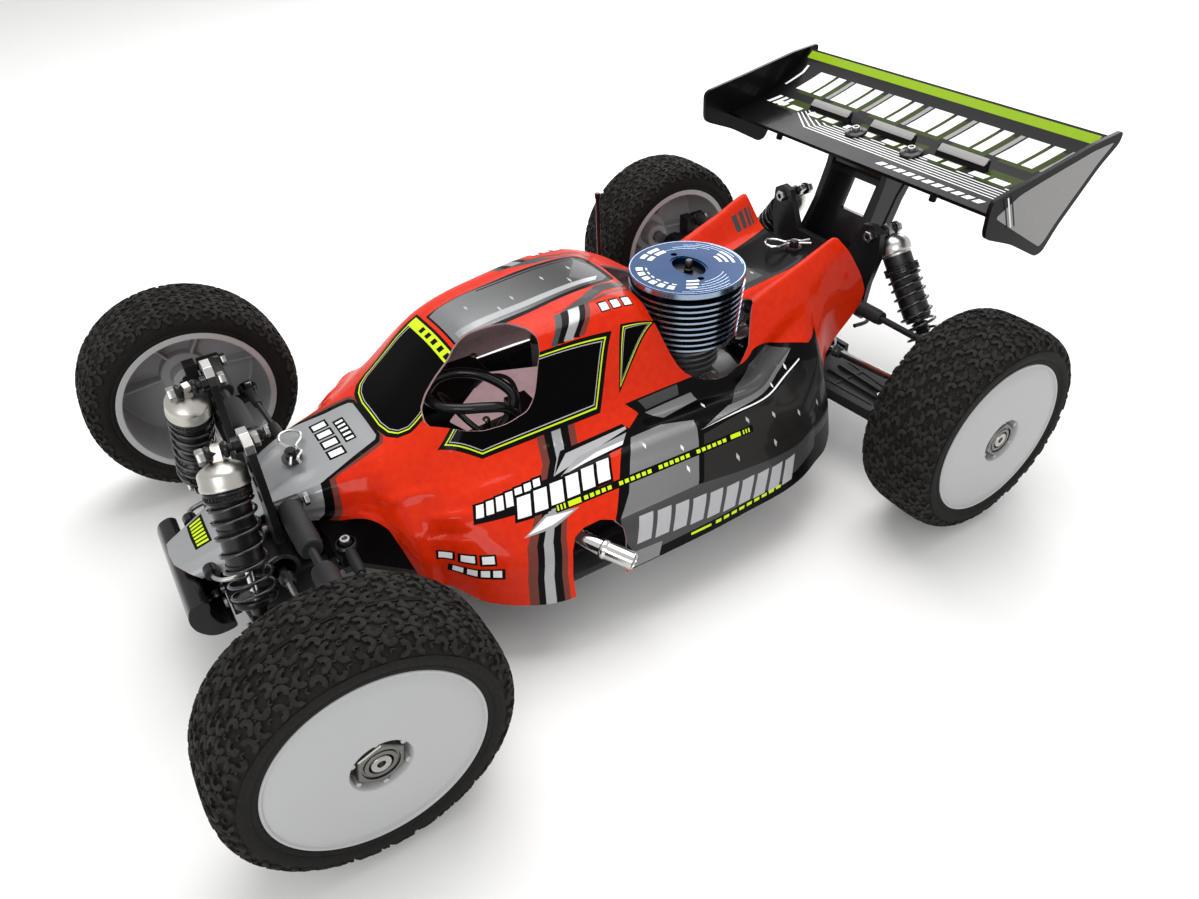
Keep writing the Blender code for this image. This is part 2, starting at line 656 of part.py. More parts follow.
STATIONS = [
    (-201, (0, 55), (10, 55), (14, 54), (17, 53), (20, 52.5), (22, 51.8), (23.5, 51), (24, 50)),
    (-175, (0, 66), (14, 66), (17, 64), (19, 62), (21, 60), (22, 58), (23, 56), (24, 54)),
    (-150, (0, 77), (20, 77), (23, 75), (24.5, 72.5), (25, 70), (25, 68), (25, 66), (25, 64)),
    (-135, (0, 82), (24, 81), (27, 79), (29, 75), (30, 71), (30, 68), (31, 65.5), (31, 63)),
    (-118, (0, 86), (25, 85), (31, 82), (36, 77), (40, 71), (44, 67.5), (47, 65.5), (49, 63.5)),
    (-103, (0, 90), (27, 89), (36, 86), (44, 81), (55, 74), (65, 66), (72, 54), (74, 40)),
    (-90, (0, 98), (28, 96), (41, 91), (50, 84), (63, 76), (74, 67), (84, 53), (88, 33)),
    (-62, (0, 121), (29, 119), (43, 108), (53, 86), (66, 77), (81, 67), (96, 52), (103, 30)),
    (-20, (0, 128), (34, 126), (43, 116), (55, 87), (68, 77), (84, 67), (99, 52), (105, 31)),
    (20, (0, 129), (36, 127), (45, 116), (56, 88), (70, 77), (86, 67), (101, 52), (106, 32)),
    (45, (0, 120), (36, 118), (46, 108), (57, 88), (72, 77), (87, 67), (101, 52), (105, 32)),
    (75, (0, 100), (34, 99), (46, 92), (58, 84), (72, 76), (86, 66), (98, 52), (103, 32)),
    (97, (0, 97), (26, 98), (38, 104), (48, 92), (62, 76), (80, 65), (91, 52), (96, 32)),
    (125, (0, 99), (24, 100), (37, 115), (44, 104), (54, 84), (67, 66), (75, 50), (79, 32)),
    (133, (0, 100), (24, 101), (37, 118), (44, 106), (49, 88), (56, 74), (60, 66), (62, 58)),
    (150, (0, 103), (24, 104), (37, 125), (42.5, 116), (45, 98), (46, 84), (47, 72), (48, 62)),
    (168, (0, 104), (24, 105), (37, 125), (43, 116), (45.5, 101), (46, 90), (46, 82), (46, 77)),
]


def body_shell():
    bm = bmesh.new()
    rows = []
    for y, *half in STATIONS:
        section = [(-x, z) for x, z in reversed(half[1:])] + half
        rows.append([bm.verts.new(Vector((x, y, z)) * MM) for x, z in section])
    for first, second in zip(rows, rows[1:]):
        for a, b, c, d in zip(first, first[1:], second[1:], second):
            bm.faces.new((a, b, c, d))
    bmesh.ops.recalc_face_normals(bm, faces=bm.faces)
    if bm.faces[0].normal.z < 0:
        bmesh.ops.reverse_faces(bm, faces=bm.faces)
    mesh = bpy.data.meshes.new("shell")
    bm.to_mesh(mesh)
    bm.free()
    shell = bpy.data.objects.new("shell", mesh)
    bpy.context.scene.collection.objects.link(shell)
    wall = shell.modifiers.new("Wall", "SOLIDIFY")
    wall.thickness = SHELL * MM
    wall.offset = -1
    opening = [(-7, 27), (46, 24), (63, 34), (66, 90), (40, 97), (-7, 97)]
    window = [(-94, 88), (-66, 82), (-60, 104), (-80, 112)]
    cutters = [
        extruded(opening, 72, 150, "Z"),
        extruded(window, 16, 60, "X"),
        extruded([(-56, 20), (-26, 20), (-26, 48), (-33, 55), (-49, 55), (-56, 46)], 84, 125, "X"),
        box((19.5, -173, 50), (60, -154, 76)),
        box((-60, -173, 50), (-19.5, -154, 76)),
    ]
    fused("body_shell", "body_paint", [shell], cutters)


def build():
    clear_scene()
    vehicle = bpy.data.objects.new("vehicle", None)
    bpy.context.scene.collection.objects.link(vehicle)
    vehicle.location = (0, -LENGTH_MIDDLE * MM, 0)
    for obj in list(corners_of_car()):
        mirrored(obj)
    mirrored(side_guard())
    chassis_plate()
    gearbox("front", -HALF_WHEELBASE, -1)
    gearbox("rear", HALF_WHEELBASE, 1)
    front_tower()
    rear_tower()
    front_bumper()
    wing_mount()
    wing()
    gears()
    engine()
    tuned_pipe()
    fuel_tank()
    radio_tray()
    steering()
    body_shell()


build()
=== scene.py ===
"""The looks of the 1/8-scale nitro buggy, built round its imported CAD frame.

Shapes are laid out in millimetres in the vehicle's own coordinates, as in the CAD source:
X to the driver's left, Y to the rear, Z up from the ground, with Y zero midway between the
axles. place() turns them into the frame's metres.
"""

import math
import random

import bmesh
import bpy
from mathutils import Matrix, Vector
from mathutils.geometry import delaunay_2d_cdt


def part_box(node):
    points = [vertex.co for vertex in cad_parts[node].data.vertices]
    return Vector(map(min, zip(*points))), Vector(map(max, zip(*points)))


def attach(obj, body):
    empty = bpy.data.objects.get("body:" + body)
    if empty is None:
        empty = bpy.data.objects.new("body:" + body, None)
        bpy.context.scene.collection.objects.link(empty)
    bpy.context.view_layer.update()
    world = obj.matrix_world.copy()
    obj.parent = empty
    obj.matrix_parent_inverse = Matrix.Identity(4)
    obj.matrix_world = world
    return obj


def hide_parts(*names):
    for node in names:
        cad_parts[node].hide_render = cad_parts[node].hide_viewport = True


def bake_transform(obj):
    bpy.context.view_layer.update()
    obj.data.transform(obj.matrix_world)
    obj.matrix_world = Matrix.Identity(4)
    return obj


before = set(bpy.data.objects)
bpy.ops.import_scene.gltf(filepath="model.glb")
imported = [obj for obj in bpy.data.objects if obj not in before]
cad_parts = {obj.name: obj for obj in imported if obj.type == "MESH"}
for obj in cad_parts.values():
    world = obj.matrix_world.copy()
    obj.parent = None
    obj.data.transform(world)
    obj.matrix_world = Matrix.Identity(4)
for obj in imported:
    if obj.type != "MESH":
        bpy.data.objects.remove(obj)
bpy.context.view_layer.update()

MM = 0.001
HEAD_X, HEAD_Y = 32, 58.5  # the engine head's axis
X_AXIS, Y_AXIS, Z_AXIS = (1, 0, 0), (0, 1, 0), (0, 0, 1)


def middle(node):
    low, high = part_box(node)
    return (low + high) / 2


MID_AXLES = (middle("front_left_wheel").y + middle("rear_left_wheel").y) / 2
ORIGIN = Vector((0, MID_AXLES, 0))


def place(point):
    return Vector(point) * MM + ORIGIN


# Camera, floor and light


CAMERA_TURN = (58.8075, 37.9608, -2.1236)  # azimuth, elevation and roll, in degrees
CAMERA_PLACE = (350.87, -188.62, 333.10)
FLOOR_REACH, FLOOR_STEP, FLOOR_POINTS, FLOOR_Z = 3.0, 0.25, 25, -0.0004  # metres; Z just under the tyres


def direction_axes(azimuth, elevation, roll):
    a, e, r = (math.radians(v) for v in (azimuth, elevation, roll))
    back = Vector((math.sin(a) * math.cos(e), -math.cos(a) * math.cos(e), math.sin(e)))
    right = (-back).cross(Vector(Z_AXIS)).normalized()
    up = right.cross(-back)
    return right * math.cos(r) + up * math.sin(r), up * math.cos(r) - right * math.sin(r), back


def camera():
    data = bpy.data.cameras.new("camera")
    data.sensor_width = 36.0
    data.lens = 26.90
    data.clip_start = 0.01
    obj = bpy.data.objects.new("camera", data)
    bpy.context.scene.collection.objects.link(obj)
    right, up, back = direction_axes(*CAMERA_TURN)
    where = place(CAMERA_PLACE)
    obj.matrix_world = Matrix(
        [[right[i], up[i], back[i], where[i]] for i in range(3)] + [[0, 0, 0, 1]]
    )
    bpy.context.scene.camera = obj


def area_light(name, place_at, target, size, power, colour=(1, 1, 1)):
    data = bpy.data.lights.new(name, "AREA")
    data.shape = "RECTANGLE"
    data.size, data.size_y = size
    data.energy = power
    data.color = colour
    obj = bpy.data.objects.new(name, data)
    bpy.context.scene.collection.objects.link(obj)
    obj.location = place_at
    obj.rotation_euler = (Vector(target) - Vector(place_at)).to_track_quat("-Z", "Y").to_euler()


def studio():
    world = bpy.data.worlds.new("studio")
    bpy.context.scene.world = world
    world.use_nodes = True
    shade = world.node_tree.nodes["Background"]
    shade.inputs["Color"].default_value = (1.0, 0.995, 0.99, 1)
    shade.inputs["Strength"].default_value = 0.72
    area_light("key", (-0.35, 0.25, 1.25), (0, 0, 0), (1.1, 1.1), 13.5, (1, 0.99, 0.97))
    area_light("front_left", (1.1, -0.9, 0.9), (0, 0, 0.05), (0.9, 0.5), 6.5)
    area_light("back", (-0.9, 1.1, 0.7), (0, 0, 0.05), (1.0, 0.5), 7.0, (0.97, 0.98, 1))
    view = bpy.context.scene.view_settings
    view.view_transform = "Standard"
    view.look = "None"
    bm = bmesh.new()
    rows = []
    for i in range(FLOOR_POINTS):
        along = i * FLOOR_STEP - FLOOR_REACH
        rows.append([bm.verts.new((along, j * FLOOR_STEP - FLOOR_REACH,
                                   FLOOR_Z)) for j in range(FLOOR_POINTS)])
    for first, second in zip(rows, rows[1:]):
        for a, b, c, d in zip(first, second, second[1:], first[1:]):
            bm.faces.new((a, b, c, d))
    mesh = bpy.data.meshes.new("floor")
    bm.to_mesh(mesh)
    bm.free()
    floor = bpy.data.objects.new("floor", mesh)
    bpy.context.scene.collection.objects.link(floor)
    mesh.materials.append(finish("floor_card", (0.86, 0.86, 0.855), 0.8, vary=0.01, grain=60, bump=0.004))


# Materials


def finish(name, colour, roughness, metallic=0.0, vary=0.12, grain=300.0, bump=0.02, spread=0.06, coat=0.0,
           second=None, stretch=(1, 1, 1), fade=None, specular=0.5, patches=25.0, glow=0.0):
    """A shader with its colour, roughness and bump broken up by noise at the grain's scale, per metre.

    fade = (colour, axis, start, end) turns it into another colour along an axis, in vehicle millimetres.
    """
    made = bpy.data.materials.new(name)
    made.use_nodes = True
    tree = made.node_tree
    link = tree.links.new
    shader = tree.nodes["Principled BSDF"]
    coords = tree.nodes.new("ShaderNodeTexCoord")
    mapping = tree.nodes.new("ShaderNodeMapping")
    mapping.inputs["Scale"].default_value = stretch
    link(coords.outputs["Object"], mapping.inputs["Vector"])

    def noise(scale, detail):
        node = tree.nodes.new("ShaderNodeTexNoise")
        node.inputs["Scale"].default_value = scale
        node.inputs["Detail"].default_value = detail
        link(mapping.outputs["Vector"], node.inputs["Vector"])
        return node.outputs["Fac"]

    fine, broad = noise(grain, 3.0), noise(patches, 2.0)
    tone = tree.nodes.new("ShaderNodeMix")
    tone.data_type = "FLOAT"
    tone.inputs[0].default_value = 0.5
    link(fine, tone.inputs[2])
    link(broad, tone.inputs[3])
    ramp = tree.nodes.new("ShaderNodeValToRGB")
    dark = tuple(max(0.0, c * (1 - vary)) for c in colour)
    light = tuple(min(1.0, c * (1 + vary)) for c in (second or colour))
    ramp.color_ramp.elements[0].position, ramp.color_ramp.elements[1].position = 0.32, 0.68
    ramp.color_ramp.elements[0].color = (*dark, 1)
    ramp.color_ramp.elements[1].color = (*light, 1)
    link(tone.outputs[0], ramp.inputs["Fac"])
    shown = ramp.outputs["Color"]
    if fade:
        other, axis, start, end = fade
        split = tree.nodes.new("ShaderNodeSeparateXYZ")
        link(coords.outputs["Object"], split.inputs["Vector"])
        spread_map = tree.nodes.new("ShaderNodeMapRange")
        limits = [place((v, v, v))["XYZ".index(axis)] for v in (start, end)]
        spread_map.inputs["From Min"].default_value, spread_map.inputs["From Max"].default_value = limits
        link(split.outputs[axis], spread_map.inputs["Value"])
        mix = tree.nodes.new("ShaderNodeMix")
        mix.data_type = "RGBA"
        link(spread_map.outputs["Result"], mix.inputs[0])
        link(shown, mix.inputs[6])
        mix.inputs[7].default_value = (*other, 1)
        shown = mix.outputs[2]
    link(shown, shader.inputs["Base Color"])
    rough = tree.nodes.new("ShaderNodeMapRange")
    rough.inputs["From Min"].default_value, rough.inputs["From Max"].default_value = 0.3, 0.7
    rough.inputs["To Min"].default_value = max(0.02, roughness - spread)
    rough.inputs["To Max"].default_value = min(1.0, roughness + spread)
    link(broad, rough.inputs["Value"])
    link(rough.outputs["Result"], shader.inputs["Roughness"])
    shader.inputs["Metallic"].default_value = metallic
    shader.inputs["Specular IOR Level"].default_value = specular
    shader.inputs["Coat Weight"].default_value = coat
    shader.inputs["Coat Roughness"].default_value = 0.04
    if glow:
        link(shown, shader.inputs["Emission Color"])
        shader.inputs["Emission Strength"].default_value = glow
    if bump:
        relief = tree.nodes.new("ShaderNodeBump")
        relief.inputs["Strength"].default_value = min(1.0, bump * 10)
        relief.inputs["Distance"].default_value = bump * MM
        link(fine, relief.inputs["Height"])
        link(relief.outputs["Normal"], shader.inputs["Normal"])
    return made


RED = (0.60, 0.013, 0.0006)
MAT = {}


def materials():
    paint = dict(coat=0.22, bump=0.0, vary=0.04, patches=12.0, specular=0.06)
    deep = paint | dict(coat=0.16, specular=0.04)
    metal = dict(metallic=1.0, bump=0.012, grain=900.0)
    plastic = dict(grain=1600.0, bump=0.05, vary=0.15, specular=0.22)
    MAT.update(
        red=finish("red_lexan", RED, 0.42, second=(0.66, 0.026, 0.0013), **paint),
        dark_red=finish("dark_red_lexan", (0.15, 0.035, 0.026), 0.4, **paint),
        silver=finish("silver_lexan", (0.36, 0.37, 0.38), 0.36, metallic=0.55, grain=2500.0,
                      **paint | dict(vary=0.10)),
        roof=finish("fading_roof_silver", (0.22, 0.225, 0.23), 0.38, metallic=0.45, grain=2500.0,
                    fade=((0.035, 0.035, 0.036), "Y", -50, 8), **paint | dict(vary=0.10)),
        pod=finish("pod_silver", (0.21, 0.21, 0.215), 0.36, metallic=0.5, grain=2500.0,
                   **paint | dict(vary=0.12)),
        grey=finish("grey_lexan", (0.062, 0.062, 0.064), 0.4, metallic=0.3, grain=2500.0,
                    **paint | dict(vary=0.10)),
        charcoal=finish("charcoal_lexan", (0.026, 0.0245, 0.0235), 0.35, metallic=0.5, grain=2500.0,
                        fade=((0.007, 0.007, 0.007), "Y", 85, 120), **paint | dict(vary=0.12)),
        black=finish("black_lexan", (0.002, 0.002, 0.0023), 0.3, **deep | dict(coat=0.08)),
        glass=finish("window_black", (0.0008, 0.0008, 0.0008), 0.12, **deep | dict(coat=0.04, specular=0.02)),
        lime=finish("lime_trim", (0.60, 0.80, 0.01), 0.4, **paint),
        line=finish("pale_line", (0.42, 0.42, 0.44), 0.4, **paint),
        white=finish("white_trim", (0.86, 0.87, 0.88), 0.4, **paint),
        # the shell's inner side and rims: an overspray colour, plus a faint glow that is painted light
        # brightening them
        inner=finish("overspray_with_painted_glow", (0.36, 0.22, 0.23), 0.55, vary=0.15, grain=500, bump=0.03,
                     second=(0.44, 0.28, 0.29), specular=0.2, glow=0.06),
        # a pinkish colour that glows at full strength: painted light standing in for the light-filled far
        # wall of the shell seen through the cab opening
        tray=finish("inner_tray", (0.30, 0.20, 0.21), 0.5, vary=0.12, grain=200, bump=0.0, specular=0.2,
                    glow=1.0),
        rubber=finish("tyre_rubber", (0.008, 0.0076, 0.007), 0.72, vary=0.25, grain=900, bump=0.10,
                      spread=0.10,
                      second=(0.013, 0.0123, 0.011), specular=0.12),
        # the same rubber as the tyre, painted lighter on the raised lugs as a highlight
        lug=finish("lug_rubber_painted_lighter", (0.015, 0.0142, 0.0126), 0.78, vary=0.22, grain=700, bump=0.12,
                   spread=0.08,
                   second=(0.024, 0.0225, 0.020), specular=0.12),
        rim=finish("satin_grey_rim", (0.42, 0.425, 0.43), 0.42, vary=0.03, grain=1800, bump=0.03, spread=0.05,
                   specular=0.4, patches=18.0),
        nut=finish("gunmetal", (0.17, 0.165, 0.155), 0.30, vary=0.15, stretch=(6, 1, 1), **metal),
        bright=finish("bare_alloy", (0.62, 0.61, 0.59), 0.26, vary=0.08, stretch=(1, 1, 5), **metal),
        cap=finish("turned_alloy", (0.54, 0.52, 0.48), 0.36, vary=0.10, stretch=(1, 1, 8), **metal),
        chrome=finish("polished_steel", (0.72, 0.71, 0.70), 0.10, vary=0.05, metallic=1.0, grain=200,
                      bump=0.004),
        steel=finish("plated_steel", (0.42, 0.41, 0.40), 0.28, vary=0.14, **metal),
        dark_metal=finish("dark_anodised", (0.035, 0.035, 0.038), 0.33, vary=0.2,
                          **metal | dict(metallic=0.8)),
        plastic=finish("moulded_nylon", (0.010, 0.010, 0.0105), 0.46, **plastic),
        gloss=finish("gloss_moulding", (0.006, 0.006, 0.0065), 0.22, coat=0.2, **plastic | dict(bump=0.01)),
        worn=finish("dusty_nylon", (0.018, 0.018, 0.0185), 0.55, **plastic),
        spring=finish("spring_black", (0.012, 0.012, 0.013), 0.17, coat=0.6, vary=0.1, grain=300, bump=0.0),
        blue=finish("blue_anodised", (0.0002, 0.026, 0.088), 0.40, vary=0.08, stretch=(1, 1, 1), **metal),
        fin=finish("black_fin", (0.012, 0.013, 0.016), 0.35, vary=0.2, **metal | dict(metallic=0.6)),
        edge=finish("machined_edge", (0.30, 0.38, 0.50), 0.25, vary=0.12, **metal),
        cast=finish("cast_alloy", (0.22, 0.22, 0.225), 0.55, vary=0.18, grain=1200, bump=0.12, metallic=1.0),
        tank=finish("tank_plastic", (0.30, 0.30, 0.31), 0.35, vary=0.08, grain=900, bump=0.02),
        hose=finish("silicone_hose", (0.02, 0.02, 0.021), 0.35, vary=0.2, grain=600, bump=0.03),
        wing=finish("wing_moulding", (0.004, 0.004, 0.0043), 0.3, coat=0.06,
                    **plastic | dict(bump=0.012, specular=0.08)),
        wing_grey=finish("wing_grey_film", (0.27, 0.265, 0.26), 0.42, **paint | dict(coat=0.4)),
        wing_lime=finish("wing_lime_film", (0.24, 0.40, 0.001), 0.4, **paint | dict(coat=0.1)),
        wing_dim=finish("wing_dim_film", (0.03, 0.05, 0.002), 0.4, **paint | dict(coat=0.1)),
        brass=finish("glow_plug", (0.06, 0.055, 0.05), 0.3, vary=0.15, **metal),
        pin=finish("pin_steel", (0.55, 0.55, 0.55), 0.2, vary=0.1, **metal),
    )


# Shapes: each is a list of points and a list of faces


def hull(points):
    bm = bmesh.new()
    for point in points:
        bm.verts.new(point)
    found = bmesh.ops.convex_hull(bm, input=bm.verts)
    unused = {g for g in found["geom_interior"] if isinstance(g, bmesh.types.BMVert)}
    bmesh.ops.delete(bm, geom=list(unused), context="VERTS")
    bmesh.ops.dissolve_limit(bm, angle_limit=0.002, verts=bm.verts, edges=bm.edges)
    bm.verts.index_update()
    shape = ([v.co.copy() for v in bm.verts], [tuple(v.index for v in f.verts) for f in bm.faces])
    bm.free()
    return shape


def box(low, high):
    return hull([(x, y, z) for x in (low[0], high[0]) for y in (low[1], high[1]) for z in (low[2], high[2])])


def square_to(axis):
    axis = Vector(axis).normalized()
    across = Vector(Z_AXIS).cross(axis)
    across = across.normalized() if across.length > 0.3 else axis.orthogonal().normalized()
    return axis, across, axis.cross(across)


def lathe(profile, centre, axis, sides=48, turn=0.0):
    """A profile of (radius, distance along the axis), turned. A third number makes that ring a polygon."""
    axis, across, up = square_to(axis)
    centre = Vector(centre)
    points, rows, faces = [], [], []
    for radius, along, *flats in profile:
        if radius == 0:
            rows.append([len(points)] * sides)
            points.append(centre + axis * along)
            continue
        row = []
        for i in range(sides):
            angle = 2 * math.pi * i / sides
            reach = radius
            if flats:
                part = math.pi / flats[0]
                reach = radius * math.cos(part) / math.cos((angle % (2 * part)) - part)
            spin = angle + turn
            row.append(len(points))
            points.append(centre + axis * along + (across * math.cos(spin) + up * math.sin(spin)) * reach)
        rows.append(row)
    pairs = list(zip(rows, rows[1:]))
    if profile[0][0] != 0:
        pairs.append((rows[-1], rows[0]))
    for first, second in pairs:
        for i in range(sides):
            j = (i + 1) % sides
            face = tuple(dict.fromkeys((first[i], first[j], second[j], second[i])))
            if len(face) > 2:
                faces.append(face)
    return points, faces


def rod(start, end, radius, sides=24):
    axis = Vector(end) - Vector(start)
    return lathe([(0, 0), (radius, 0), (radius, axis.length), (0, axis.length)], start, axis, sides)


def ball(centre, radius, sides=20):
    arc = [(radius * math.sin(math.pi * i / 10), -radius * math.cos(math.pi * i / 10)) for i in range(1, 10)]
    return lathe([(0, -radius)] + arc + [(0, radius)], centre, Z_AXIS, sides)


def bead(centre, axis, major, minor, sides=40, round_sides=10):
    ring = [2 * math.pi * i / round_sides for i in range(round_sides)]
    return lathe([(major + minor * math.cos(a), minor * math.sin(a)) for a in ring], centre, axis, sides)


def curve(points, steps=6):
    """More points along a smooth line through the given ones."""
    points = [Vector(p) for p in points]
    ends = [points[0] * 2 - points[1]] + points + [points[-1] * 2 - points[-2]]
    found = []
    for a, b, c, d in zip(ends, ends[1:], ends[2:], ends[3:]):
        for i in range(steps):
            t = i / steps
            found.append(0.5 * (2 * b + (c - a) * t + (2 * a - 5 * b + 4 * c - d) * t**2
                                + (3 * b - a - 3 * c + d) * t**3))
    return found + [points[-1]]


def tube(route, radius, sides=12):
    points, rows, faces = [], [], []
    route = [Vector(p) for p in route]
    across = None
    for i, point in enumerate(route):
        before = (point - route[i - 1]).normalized() if i else None
        after = (route[i + 1] - point).normalized() if i + 1 < len(route) else None
        along = ((before or after) + (after or before)).normalized()
        across = across or along.orthogonal()
        across = (across - along * across.dot(along)).normalized()
        up = along.cross(across)
        size = radius[i] if isinstance(radius, list) else radius
        rows.append([len(points) + k for k in range(sides)])
        for k in range(sides):
            turn = 2 * math.pi * k / sides
            points.append(point + (across * math.cos(turn) + up * math.sin(turn)) * size)
    for first, second in zip(rows, rows[1:]):
        for k in range(sides):
            j = (k + 1) % sides
            faces.append((first[k], first[j], second[j], second[k]))
    faces += [tuple(reversed(rows[0])), tuple(rows[-1])]
    return points, faces


def coil(start, end, radius, wire, turns, sides=8, squash=0.12):
    """A compression spring whose end coils lie closer together."""
    axis, across, up = square_to(Vector(end) - Vector(start))
    length = (Vector(end) - Vector(start)).length
    route = []
    steps = int(turns * 28)
    for i in range(steps + 1):
        t = i / steps
        along = t - squash * math.sin(2 * math.pi * t) / (2 * math.pi) * 1.6
        angle = 2 * math.pi * turns * t
        route.append(Vector(start) + axis * along * length
                     + (across * math.cos(angle) + up * math.sin(angle)) * radius)
    return tube(route, wire, sides)


# How a flat outline's two numbers and its height become a point, for each axis the height runs along
RAISED = {"X": lambda a, b, h: (h, a, b), "Y": lambda a, b, h: (a, h, b), "Z": lambda a, b, h: (a, b, h)}


def prism(outline, low, high, along="Y"):
    put = RAISED[along]
    count = len(outline)
    points = [Vector(put(a, b, h)) for h in (low, high) for a, b in outline]
    faces = [tuple(range(count)), tuple(range(2 * count - 1, count - 1, -1))]
    faces += [(i, (i + 1) % count, count + (i + 1) % count, count + i) for i in range(count)]
    return points, faces


def slab(outline, cutouts, low, high, along="Y"):
    """A flat plate with openings in it."""
    put = RAISED[along]
    rings = [leftward(ring) for ring in (outline, *cutouts)]
    flat = [Vector(p) for ring in rings for p in ring]
    faces_in, start = [], 0
    for ring in rings:
        faces_in.append(list(range(start, start + len(ring))))
        start += len(ring)
    verts, _, tris, _, _, owners = delaunay_2d_cdt(flat, [], faces_in, 1, 1e-6)
    kept = [tri for tri, owner in zip(tris, owners) if owner and max(owner) == 0]
    count = len(verts)
    points = [Vector(put(v.x, v.y, h)) for h in (low, high) for v in verts]
    faces = [tuple(t) for t in kept] + [tuple(i + count for i in reversed(t)) for t in kept]
    edges = {}
    for tri in kept:
        for a, b in zip(tri, [*tri[1:], tri[0]]):
            edges[(a, b)] = edges.get((a, b), 0) + 1
    for a, b in edges:
        if (b, a) not in edges:
            faces.append((b, a, a + count, b + count))
    return points, faces


def circle(x, y, radius, sides=20):
    return [(x + radius * math.cos(2 * math.pi * i / sides), y + radius * math.sin(2 * math.pi * i / sides))
            for i in range(sides)]


def rounded(outline, radius, steps=4):
    """The outline with its corners turned into arcs."""
    found = []
    count = len(outline)
    for i in range(count):
        before, here, after = (Vector(outline[k % count]) for k in (i - 1, i, i + 1))
        to_before, to_after = before - here, after - here
        reach = min(radius, to_before.length * 0.45, to_after.length * 0.45)
        a, b = here + to_before.normalized() * reach, here + to_after.normalized() * reach
        for k in range(steps + 1):
            t = k / steps
            p = a * (1 - t) ** 2 + here * 2 * t * (1 - t) + b * t * t
            found.append((p.x, p.y))
    return found


def inset(outline, distance):
    """The outline drawn in, or out where the distance is negative, by a distance."""
    count = len(outline)
    side = 1 if signed_area(outline) > 0 else -1
    found = []
    for i in range(count):
        before, here, after = (Vector(outline[k % count]) for k in (i - 1, i, i + 1))
        first, second = (here - before).normalized(), (after - here).normalized()
        inward = [Vector((-d.y, d.x)) * side for d in (first, second)]
        p = here + (inward[0] + inward[1]) * (distance / max(0.35, 1 + inward[0].dot(inward[1])))
        found.append((p.x, p.y))
    return found


def softened(outline, rounds=3):
    """The closed outline with its corners cut into curves."""
    outline = [Vector(p) for p in outline]
    for _ in range(rounds):
        outline = [a.lerp(b, t) for a, b in zip(outline, outline[1:] + outline[:1]) for t in (0.22, 0.78)]
    return outline


def mirrored(shape):
    points, faces = shape
    return [Vector((-p[0], p[1], p[2])) for p in points], [tuple(reversed(f)) for f in faces]


def screw(centre, axis, radius=2.6, height=1.8):
    """A button-head screw with a hexagon socket."""
    dome = [(radius, 0), (radius, height * 0.25), (radius * 0.86, height * 0.7), (radius * 0.6, height)]
    socket = [(radius * 0.46, height, 6), (radius * 0.44, height * 0.35, 6), (0, height * 0.3)]
    return lathe([(0, 0)] + dome + socket, centre, axis, 24)


def cap_screw(centre, axis, radius=2.5, height=2.6):
    head = [(radius, 0), (radius, height * 0.88), (radius * 0.9, height)]
    socket = [(radius * 0.6, height, 6), (radius * 0.55, height * 0.3, 6), (0, height * 0.25)]
    return lathe([(0, 0)] + head + socket, centre, axis, 24)


def nut(centre, axis, radius=4.2, height=3.4, hole=1.6):
    return lathe([(hole, 0), (radius * 0.94, 0, 6), (radius, height * 0.15, 6), (radius, height * 0.85, 6),
                  (radius * 0.94, height, 6), (hole, height)], centre, axis, 24)


class Piece:
    """One visible piece, gathered from shapes that each have a material, riding on one body."""

    def __init__(self, name, body, slot=None, flip=False):
        self.name, self.body, self.slot, self.flip = name, body, slot, flip
        self.points, self.faces, self.marks, self.used = [], [], [], []

    def add(self, key, *shapes):
        if key not in self.used:
            self.used.append(key)
        mark = self.used.index(key)
        for shape in shapes:
            points, faces = mirrored(shape) if self.flip else shape
            start = len(self.points)
            self.points += points
            self.faces += [tuple(i + start for i in face) for face in faces]
            self.marks += [mark] * len(faces)
        return self

    def both(self, key, *shapes):
        """The shapes and their mirror images."""
        return self.add(key, *shapes).add(key, *[mirrored(s) for s in shapes])

    def mesh(self, angle=38):
        mesh = bpy.data.meshes.new(self.name)
        mesh.from_pydata([place(p) for p in self.points], [], self.faces)
        mesh.polygons.foreach_set("material_index", self.marks)
        for key in self.used:
            mesh.materials.append(MAT[key])
        bm = bmesh.new()
        bm.from_mesh(mesh)
        bmesh.ops.recalc_face_normals(bm, faces=bm.faces)
        bm.to_mesh(mesh)
        bm.free()
        mesh.shade_smooth()
        mesh.set_sharp_from_angle(angle=math.radians(angle))
        return mesh

    def done(self, *nodes, bevel=0.3, angle=38, blend=None):
        obj = bpy.data.objects.new(self.name, self.mesh(angle))
        bpy.context.scene.collection.objects.link(obj)
        if bevel:
            soft = obj.modifiers.new("Edges", "BEVEL")
            soft.width = bevel * MM
            soft.segments = 2
            soft.limit_method = "ANGLE"
            soft.angle_limit = math.radians(angle)
            soft.harden_normals = True
        if blend:
            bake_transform(obj)
        else:
            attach(obj, self.body)
        if nodes:
            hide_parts(*nodes)
        return obj


def cad_shape(node):
    """A CAD node's own shape, welded where the file split it."""
    bm = bmesh.new()
    bm.from_mesh(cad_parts[node].data)
    bmesh.ops.remove_doubles(bm, verts=bm.verts, dist=2e-6)
    bmesh.ops.dissolve_limit(bm, angle_limit=0.01, verts=bm.verts, edges=bm.edges)
    bm.verts.index_update()
    points = [(v.co - ORIGIN) / MM for v in bm.verts]
    faces = [tuple(v.index for v in f.verts) for f in bm.faces]
    bm.free()
    return points, faces


def kept(node, body, key, slot=None):
    """A CAD node's shape with its edges softened, and room for more shapes on it."""
    return Piece(node + "_form", body, slot).add(key, cad_shape(node))


# Body shell: feature points of the half section, from the crown to the lower edge

